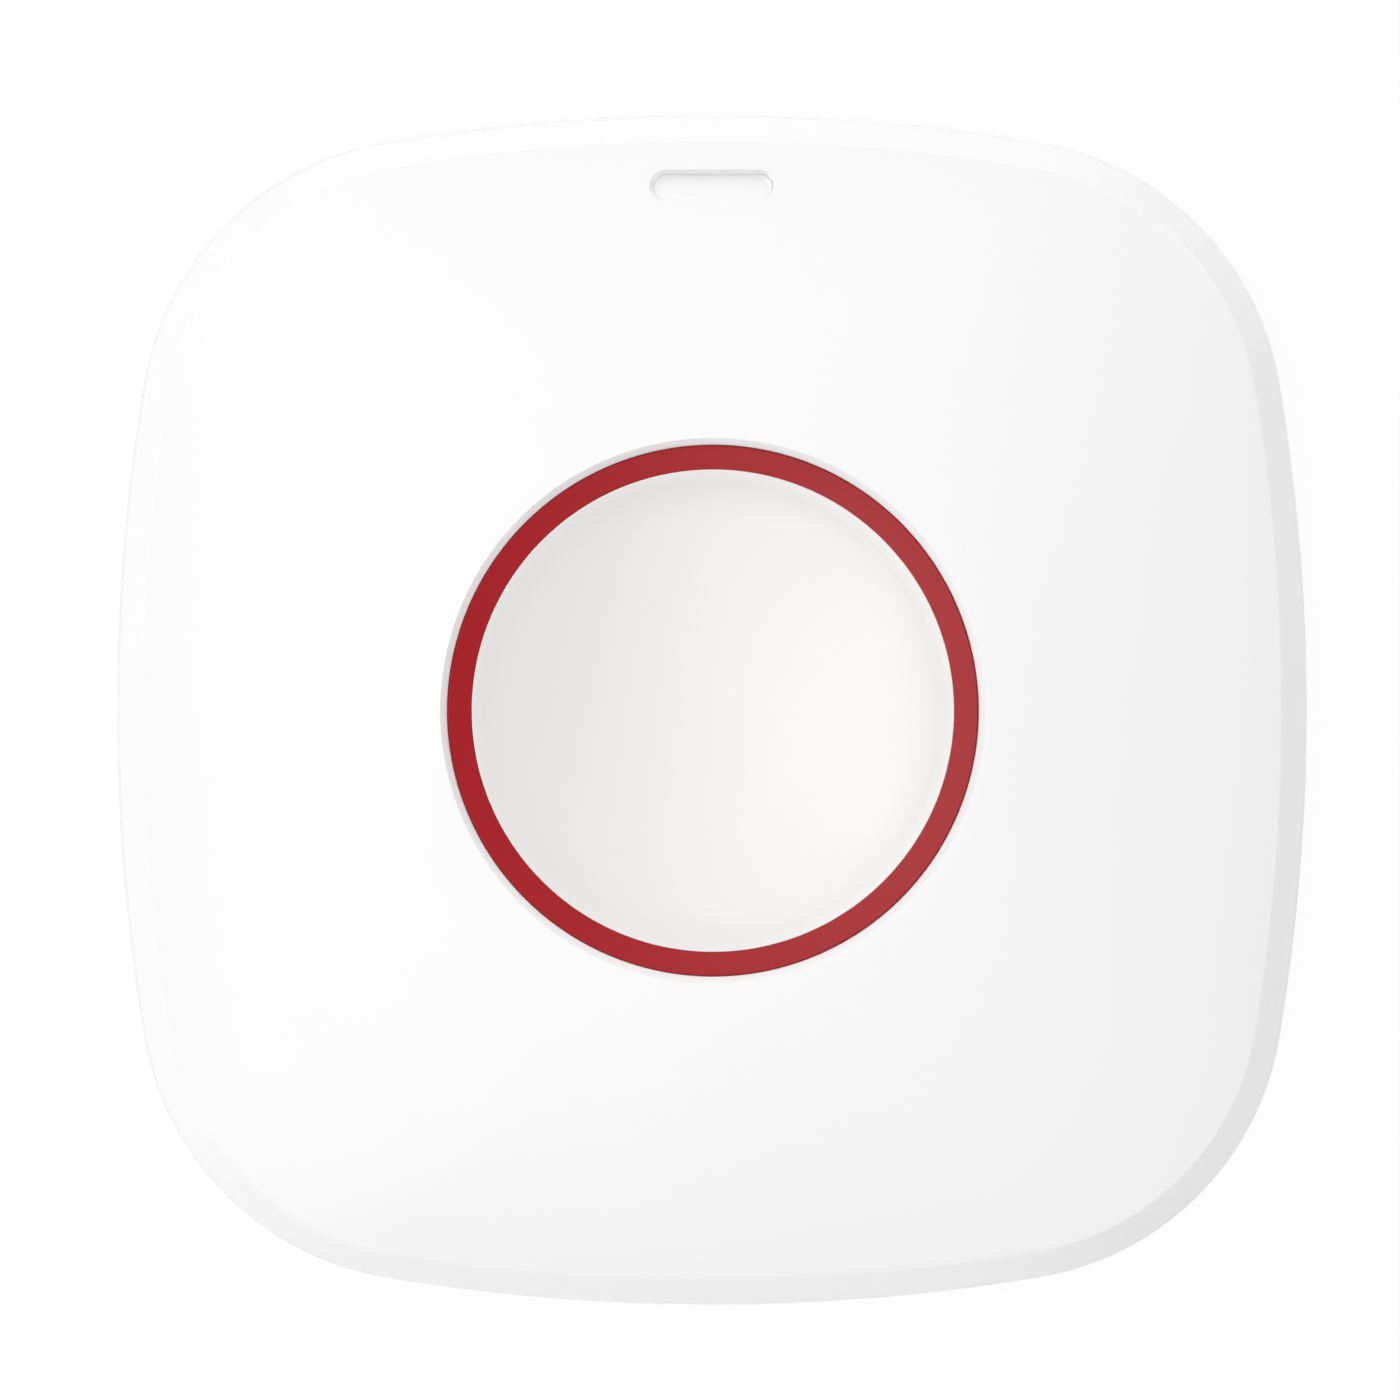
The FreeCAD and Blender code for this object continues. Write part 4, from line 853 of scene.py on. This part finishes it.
def mould_grain():
    """Fine spark-eroded grain of a mould, with a slow swell under it."""
    group, start, end = new_group("Mould grain")
    socket(group, "Place", "NodeSocketVector", "INPUT")
    socket(group, "Grain", "NodeSocketFloat", "INPUT", 6000.0)
    socket(group, "Swell", "NodeSocketFloat", "INPUT", 60.0)
    socket(group, "Swell share", "NodeSocketFloat", "INPUT", 0.3)
    socket(group, "Height", "NodeSocketFloat", "OUTPUT")
    nodes, links = group.nodes, group.links
    place = start.outputs["Place"]
    grain = noise(nodes, links, place, start.outputs["Grain"], detail=3.0, rough=0.6)
    swell = noise(nodes, links, place, start.outputs["Swell"], detail=1.0)
    swell = math_node(nodes, links, "MULTIPLY", swell, start.outputs["Swell share"])
    links.new(math_node(nodes, links, "ADD", grain, swell), end.inputs["Height"])
    return group


def tone_drift():
    """A colour that drifts slightly darker in slow patches and fine specks."""
    group, start, end = new_group("Tone drift")
    socket(group, "Place", "NodeSocketVector", "INPUT")
    socket(group, "Colour", "NodeSocketColor", "INPUT", (0.8, 0.8, 0.8, 1.0))
    socket(group, "Patch", "NodeSocketFloat", "INPUT", 45.0)
    socket(group, "Speck", "NodeSocketFloat", "INPUT", 5000.0)
    socket(group, "Drift", "NodeSocketFloat", "INPUT", 0.03)
    socket(group, "Colour", "NodeSocketColor", "OUTPUT")
    nodes, links = group.nodes, group.links
    place = start.outputs["Place"]
    patch = noise(nodes, links, place, start.outputs["Patch"])
    speck = noise(nodes, links, place, start.outputs["Speck"], rough=0.7)
    both = math_node(nodes, links, "ADD", patch, speck)
    amount = math_node(nodes, links, "MULTIPLY", both, start.outputs["Drift"])
    mix = nodes.new("ShaderNodeMix")
    mix.data_type = "RGBA"
    mix.blend_type = "MULTIPLY"
    mix.inputs["B"].default_value = (0.0, 0.0, 0.0, 1.0)
    links.new(amount, mix.inputs["Factor"])
    links.new(start.outputs["Colour"], mix.inputs["A"])
    links.new(mix.outputs["Result"], end.inputs["Colour"])
    return group


def uneven_gloss():
    """Roughness that varies a little from place to place, as handling and moulding leave it."""
    group, start, end = new_group("Uneven gloss")
    socket(group, "Place", "NodeSocketVector", "INPUT")
    socket(group, "Roughness", "NodeSocketFloat", "INPUT", 0.45)
    socket(group, "Spread", "NodeSocketFloat", "INPUT", 0.08)
    socket(group, "Patch", "NodeSocketFloat", "INPUT", 120.0)
    socket(group, "Roughness", "NodeSocketFloat", "OUTPUT")
    nodes, links = group.nodes, group.links
    patch = noise(nodes, links, start.outputs["Place"], start.outputs["Patch"], detail=3.0)
    centred = math_node(nodes, links, "SUBTRACT", patch, 0.5)
    spread = math_node(nodes, links, "MULTIPLY", centred, start.outputs["Spread"])
    gloss = math_node(nodes, links, "ADD", spread, start.outputs["Roughness"])
    links.new(gloss, end.inputs["Roughness"])
    return group


def drawn_lines():
    """Fine lines along one direction, as rolling and drawing leave them in metal."""
    group, start, end = new_group("Drawn lines")
    socket(group, "Place", "NodeSocketVector", "INPUT")
    socket(group, "Lines", "NodeSocketFloat", "INPUT", 4000.0)
    socket(group, "Height", "NodeSocketFloat", "OUTPUT")
    nodes, links = group.nodes, group.links
    stretch = nodes.new("ShaderNodeMapping")
    stretch.inputs["Scale"].default_value = (1.0, LINE_RUN, 1.0)
    links.new(start.outputs["Place"], stretch.inputs["Vector"])
    place = stretch.outputs["Vector"]
    height = noise(nodes, links, place, start.outputs["Lines"], detail=4.0, rough=0.6)
    links.new(height, end.inputs["Height"])
    return group


def shared(name, maker):
    """The shader group of that name, made the first time."""
    return bpy.data.node_groups.get(name) or maker()


class Finish:
    """A material with a Principled shader, ready for shared effects."""

    def __init__(self, slot, **constants):
        self.material = bpy.data.materials.new("finish_" + slot)
        self.material.use_nodes = True
        self.nodes = self.material.node_tree.nodes
        self.links = self.material.node_tree.links
        self.shader = self.nodes["Principled BSDF"]
        for name, value in (constants | CONSTANTS.get(slot, {})).items():
            self.shader.inputs[name].default_value = value
        self.place = self.nodes.new("ShaderNodeTexCoord").outputs["Object"]

    def effect(self, name, maker, **values):
        """Places a shared effect with its own values."""
        made = self.nodes.new("ShaderNodeGroup")
        made.node_tree = shared(name, maker)
        made.label = name
        self.links.new(self.place, made.inputs["Place"])
        for key, value in values.items():
            made.inputs[key.replace("_", " ")].default_value = value
        return made

    def tone(self, base, **values):
        """Drifting colour on the shader."""
        made = self.effect("Tone drift", tone_drift, **values)
        made.inputs["Colour"].default_value = (*base, 1.0)
        self.links.new(made.outputs["Colour"], self.shader.inputs["Base Color"])

    def gloss(self, roughness, spread, patch):
        """Uneven roughness on the shader."""
        made = self.effect("Uneven gloss", uneven_gloss, Roughness=roughness, Spread=spread, Patch=patch)
        self.links.new(made.outputs["Roughness"], self.shader.inputs["Roughness"])

    def relief(self, height, depth):
        """Relief on the shader, its depth in metres."""
        made = self.nodes.new("ShaderNodeBump")
        made.inputs["Distance"].default_value = depth
        made.inputs["Strength"].default_value = 1.0
        self.links.new(height, made.inputs["Height"])
        self.links.new(made.outputs["Normal"], self.shader.inputs["Normal"])


def plastic(slot, base, roughness, depth, grain, drift):
    """Moulded plastic with grain, a slow drift of tone and uneven gloss."""
    finish = Finish(slot)
    finish.tone(base, Drift=drift)
    finish.gloss(roughness, spread=0.08, patch=120.0)
    mould = finish.effect("Mould grain", mould_grain, Grain=grain, Swell=60.0, Swell_share=0.3)
    finish.relief(mould.outputs["Height"], depth)
    return finish.material


def metal(slot, base, roughness, depth, lines, drift):
    """Drawn or rolled metal with lines, dull patches and uneven gloss."""
    finish = Finish(slot, Metallic=1.0)
    finish.tone(base, Drift=drift, Patch=220.0)
    finish.gloss(roughness, spread=0.2, patch=300.0)
    drawn = finish.effect("Drawn lines", drawn_lines, Lines=lines)
    finish.relief(drawn.outputs["Height"], depth)
    return finish.material


def laminate(slot, base):
    """Circuit board: solder mask over copper tracks, with a glass weave under it."""
    finish = Finish(slot)
    nodes, links = finish.nodes, finish.links
    tracks = nodes.new("ShaderNodeTexBrick")
    tracks.offset = 0.35
    tracks.inputs["Scale"].default_value = 260.0
    tracks.inputs["Mortar Size"].default_value = 0.09
    tracks.inputs["Mortar Smooth"].default_value = 0.2
    darker = [value * MASK_DARKER for value in base]
    lighter = [min(1.0, value * TRACK_LIGHTER) for value in base]
    tracks.inputs["Color1"].default_value = (*base, 1.0)
    tracks.inputs["Color2"].default_value = (*darker, 1.0)
    tracks.inputs["Mortar"].default_value = (*lighter, 1.0)
    links.new(finish.place, tracks.inputs["Vector"])
    drift = finish.effect("Tone drift", tone_drift, Drift=0.12, Patch=90.0)
    links.new(tracks.outputs["Color"], drift.inputs["Colour"])
    links.new(drift.outputs["Colour"], finish.shader.inputs["Base Color"])
    finish.gloss(roughness=0.28, spread=0.12, patch=120.0)
    weave = finish.effect("Mould grain", mould_grain, Grain=2600.0, Swell=900.0, Swell_share=0.5)
    height = math_node(nodes, links, "ADD", weave.outputs["Height"], tracks.outputs["Fac"])
    finish.relief(height, depth=0.012 * MM)
    return finish.material


def finished(context, slot):
    """The material of a slot: its colour from the sidebar, its other values from the lists above."""
    base = getattr(context.scene.panic_colours, slot)
    if slot in PLASTICS:
        return plastic(slot, base, **PLASTICS[slot])
    if slot in METALS:
        return metal(slot, base, **METALS[slot])
    return laminate(slot, base)


def dress(material, *targets):
    """Gives a material to CAD nodes by name, or to pieces."""
    for target in targets:
        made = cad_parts[target] if isinstance(target, str) else target
        made.data.materials.clear()
        made.data.materials.append(material)


def round_off(node):
    """Rounds a CAD node's faceted wire with modifiers."""
    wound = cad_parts[node]
    joined = wound.modifiers.new("Joined edges", "WELD")
    joined.merge_threshold = AERIAL_JOIN
    smooth = wound.modifiers.new("Round wire", "SUBSURF")
    smooth.levels = AERIAL_DIVISIONS
    smooth.render_levels = AERIAL_DIVISIONS


def dress_piece(material, piece):
    """Gives a material to a new piece."""
    dress(material, piece)


class PANIC_OT_front_cover(bpy.types.Operator):
    """Builds the white front cover with its bevel, well lip and indicator slot"""

    bl_idname = "panic.front_cover"
    bl_label = "Front cover"

    def execute(self, context):
        cover = build_cover(context.scene.panic_cover)
        dress_piece(finished(context, "cover_white"), cover)
        return {"FINISHED"}


class PANIC_OT_button(bpy.types.Operator):
    """Builds the red ring and the dished cap"""

    bl_idname = "panic.button"
    bl_label = "Ring and cap"

    def execute(self, context):
        ring = build_ring(context.scene.panic_button)
        dress_piece(finished(context, "ring_red"), ring)
        cap = build_cap(context.scene.panic_button)
        dress_piece(finished(context, "cap_white"), cap)
        return {"FINISHED"}


class PANIC_OT_light_pipe(bpy.types.Operator):
    """Frosts the light pipe and finishes the indicator's lens"""

    bl_idname = "panic.light_pipe"
    bl_label = "Light pipe"

    def execute(self, context):
        dress(finished(context, "pipe_frosted"), "light_pipe")
        dress(finished(context, "led_lens"), "indicator_led")
        return {"FINISHED"}


class PANIC_OT_back(bpy.types.Operator):
    """Finishes rear cover, battery door, wall bracket and all screws"""

    bl_idname = "panic.back"
    bl_label = "Back"

    def execute(self, context):
        dress(finished(context, "back_white"), "rear_cover", "battery_door", "wall_bracket")
        dress(finished(context, "screw_steel"), "case_screws", "board_screws", "button_screws")
        return {"FINISHED"}


class PANIC_OT_inner_plastics(bpy.types.Operator):
    """Finishes the plastic pieces inside the housing"""

    bl_idname = "panic.inner_plastics"
    bl_label = "Inner plastics"

    def execute(self, context):
        switches = ("switch_body", "tamper_switch_body")
        dress(finished(context, "inner_plastic"), "button_carrier", "button_frame")
        dress(finished(context, "black_plastic"), "battery_holder", "controller_chip", *switches)
        dress(finished(context, "stem_plastic"), "switch_stem", "tamper_plunger")
        return {"FINISHED"}


class PANIC_OT_inner_metals(bpy.types.Operator):
    """Builds the springs and the small parts' ends, and finishes every inner metal piece"""

    bl_idname = "panic.inner_metals"
    bl_label = "Inner metals"

    def execute(self, context):
        sizes = context.scene.panic_inner
        tinned = finished(context, "tinned_metal")
        contacts = ("positive_contact", "negative_contact")
        dress(tinned, "switch_cover_plate", "radio_shield", "crystal", "capacitor", *contacts)
        dress(finished(context, "cell_steel"), "coin_cell")
        coils = build_springs(sizes)
        dress_piece(finished(context, "spring_steel"), coils)
        dress_piece(tinned, build_ends(sizes))
        dress(finished(context, "aerial_copper"), "antenna_coil")
        round_off("antenna_coil")
        return {"FINISHED"}


class PANIC_OT_boards(bpy.types.Operator):
    """Finishes the circuit boards and the small ceramic parts"""

    bl_idname = "panic.boards"
    bl_label = "Boards"

    def execute(self, context):
        dress(finished(context, "board_green"), "circuit_board", "radio_board")
        dress(finished(context, "chip_ceramic"), "board_components")
        return {"FINISHED"}


def seen_rays(nodes, links):
    """One for rays that see the background straight, in a gloss or through glass."""
    path = nodes.new("ShaderNodeLightPath")
    camera, glossy = path.outputs["Is Camera Ray"], path.outputs["Is Glossy Ray"]
    seen = math_node(nodes, links, "MAXIMUM", camera, glossy)
    return math_node(nodes, links, "MAXIMUM", seen, path.outputs["Is Transmission Ray"])


def studio_floor():
    """Pale floor that keeps a faint shadow and otherwise shows white."""
    mesh = bpy.data.meshes.new("floor")
    ways = ((-1, -1), (1, -1), (1, 1), (-1, 1))
    corners = [(x * FLOOR_REACH, y * FLOOR_REACH, -FLOOR_DROP) for x, y in ways]
    mesh.from_pydata(corners, [], [(0, 1, 2, 3)])
    floor = bpy.data.objects.new("floor", mesh)
    bpy.context.scene.collection.objects.link(floor)
    material = bpy.data.materials.new("floor_paper")
    material.use_nodes = True
    nodes, links = material.node_tree.nodes, material.node_tree.links
    paper = nodes["Principled BSDF"]
    paper.inputs["Base Color"].default_value = (FLOOR_PAPER, FLOOR_PAPER, FLOOR_PAPER, 1.0)
    paper.inputs["Roughness"].default_value = FLOOR_ROUGHNESS
    white = nodes.new("ShaderNodeEmission")
    mix = nodes.new("ShaderNodeMixShader")
    seen = math_node(nodes, links, "MULTIPLY", seen_rays(nodes, links), FLOOR_WHITE_SHARE)
    links.new(seen, mix.inputs["Fac"])
    links.new(paper.outputs["BSDF"], mix.inputs[1])
    links.new(white.outputs["Emission"], mix.inputs[2])
    links.new(mix.outputs["Shader"], nodes["Material Output"].inputs["Surface"])
    mesh.materials.append(material)


def studio_sky(settings):
    """Even light from all round, white where it is seen."""
    world = bpy.data.worlds.new("studio")
    bpy.context.scene.world = world
    world.use_nodes = True
    nodes, links = world.node_tree.nodes, world.node_tree.links
    sky = nodes["Background"]
    sky.inputs["Color"].default_value = (1.0, 1.0, 1.0, 1.0)
    sky.inputs["Strength"].default_value = settings.sky
    white = nodes.new("ShaderNodeBackground")
    white.inputs["Color"].default_value = (1.0, 1.0, 1.0, 1.0)
    mix = nodes.new("ShaderNodeMixShader")
    path = nodes.new("ShaderNodeLightPath")
    links.new(path.outputs["Is Camera Ray"], mix.inputs["Fac"])
    links.new(sky.outputs["Background"], mix.inputs[1])
    links.new(white.outputs["Background"], mix.inputs[2])
    links.new(mix.outputs["Shader"], nodes["World Output"].inputs["Surface"])


def studio_lamp(settings, name, azimuth, elevation, power):
    """One large soft lamp, turned to the body."""
    light = bpy.data.lights.new(name, "AREA")
    light.shape = "DISK"
    light.size = settings.lamp_size
    light.energy = power * settings.lamps
    lamp = bpy.data.objects.new(name, light)
    bpy.context.scene.collection.objects.link(lamp)
    lamp.visible_camera = False
    turn = Euler((0.0, -math.radians(elevation), math.radians(azimuth)))
    lamp.location = turn.to_matrix() @ Vector((settings.lamp_distance, 0.0, 0.0))
    lamp.rotation_euler = (-lamp.location).to_track_quat("-Z", "Y").to_euler()


def studio_camera(settings):
    """Long lens straight above the face, a little to its upper left."""
    data = bpy.data.cameras.new("camera")
    data.sensor_width = 36.0
    far = settings.camera_distance - settings.picture_level
    data.lens = data.sensor_width * far / settings.picture_width
    data.clip_start = 0.1
    data.clip_end = 50.0
    camera = bpy.data.objects.new("camera", data)
    bpy.context.scene.collection.objects.link(camera)
    aim = Vector((settings.aim_x, settings.aim_y, settings.picture_level))
    back = Vector((-settings.lean_x, settings.lean_y, 1.0)).normalized()
    across = Vector((0.0, 1.0, 0.0)).cross(back).normalized()
    turn = Matrix((across, back.cross(across), back)).transposed()
    camera.location = aim + back * far
    camera.rotation_euler = turn.to_euler()
    bpy.context.scene.camera = camera


class PANIC_OT_studio(bpy.types.Operator):
    """Sets up floor, light and camera"""

    bl_idname = "panic.studio"
    bl_label = "Studio"

    def execute(self, context):
        settings = context.scene.panic_studio
        studio_floor()
        studio_sky(settings)
        for name, (azimuth, elevation, power) in LAMPS.items():
            studio_lamp(settings, name, azimuth, elevation, power)
        studio_camera(settings)
        context.scene.view_settings.view_transform = "Standard"
        return {"FINISHED"}


class PANIC_PT_sidebar(bpy.types.Panel):
    """Sizes, colours and the steps that build the panic button"""

    bl_idname = "PANIC_PT_sidebar"
    bl_label = "Panic button"
    bl_space_type = "VIEW_3D"
    bl_region_type = "UI"
    bl_category = "Panic button"

    def draw(self, context):
        layout = self.layout
        for operator in OPERATORS:
            layout.operator(operator.bl_idname)
        for name in GROUPS:
            box = layout.box()
            settings = getattr(context.scene, name)
            for key in settings.__annotations__:
                box.prop(settings, key)


GROUPS = {
    "panic_cover": CoverSizes,
    "panic_button": ButtonSizes,
    "panic_inner": InnerSizes,
    "panic_colours": FinishColours,
    "panic_studio": StudioSettings,
}
OPERATORS = (
    PANIC_OT_studio,
    PANIC_OT_front_cover,
    PANIC_OT_button,
    PANIC_OT_light_pipe,
    PANIC_OT_back,
    PANIC_OT_inner_plastics,
    PANIC_OT_inner_metals,
    PANIC_OT_boards,
)


def register():
    for name, group in GROUPS.items():
        bpy.utils.register_class(group)
        setattr(bpy.types.Scene, name, PointerProperty(type=group))
    for operator in OPERATORS:
        bpy.utils.register_class(operator)
    bpy.utils.register_class(PANIC_PT_sidebar)


def unregister():
    bpy.utils.unregister_class(PANIC_PT_sidebar)
    for operator in reversed(OPERATORS):
        bpy.utils.unregister_class(operator)
    for name, group in GROUPS.items():
        delattr(bpy.types.Scene, name)
        bpy.utils.unregister_class(group)


def main():
    register()
    bpy.ops.panic.studio()
    bpy.ops.panic.front_cover()
    bpy.ops.panic.button()
    bpy.ops.panic.light_pipe()
    bpy.ops.panic.back()
    bpy.ops.panic.inner_plastics()
    bpy.ops.panic.inner_metals()
    bpy.ops.panic.boards()


if __name__ == "__main__":
    main()
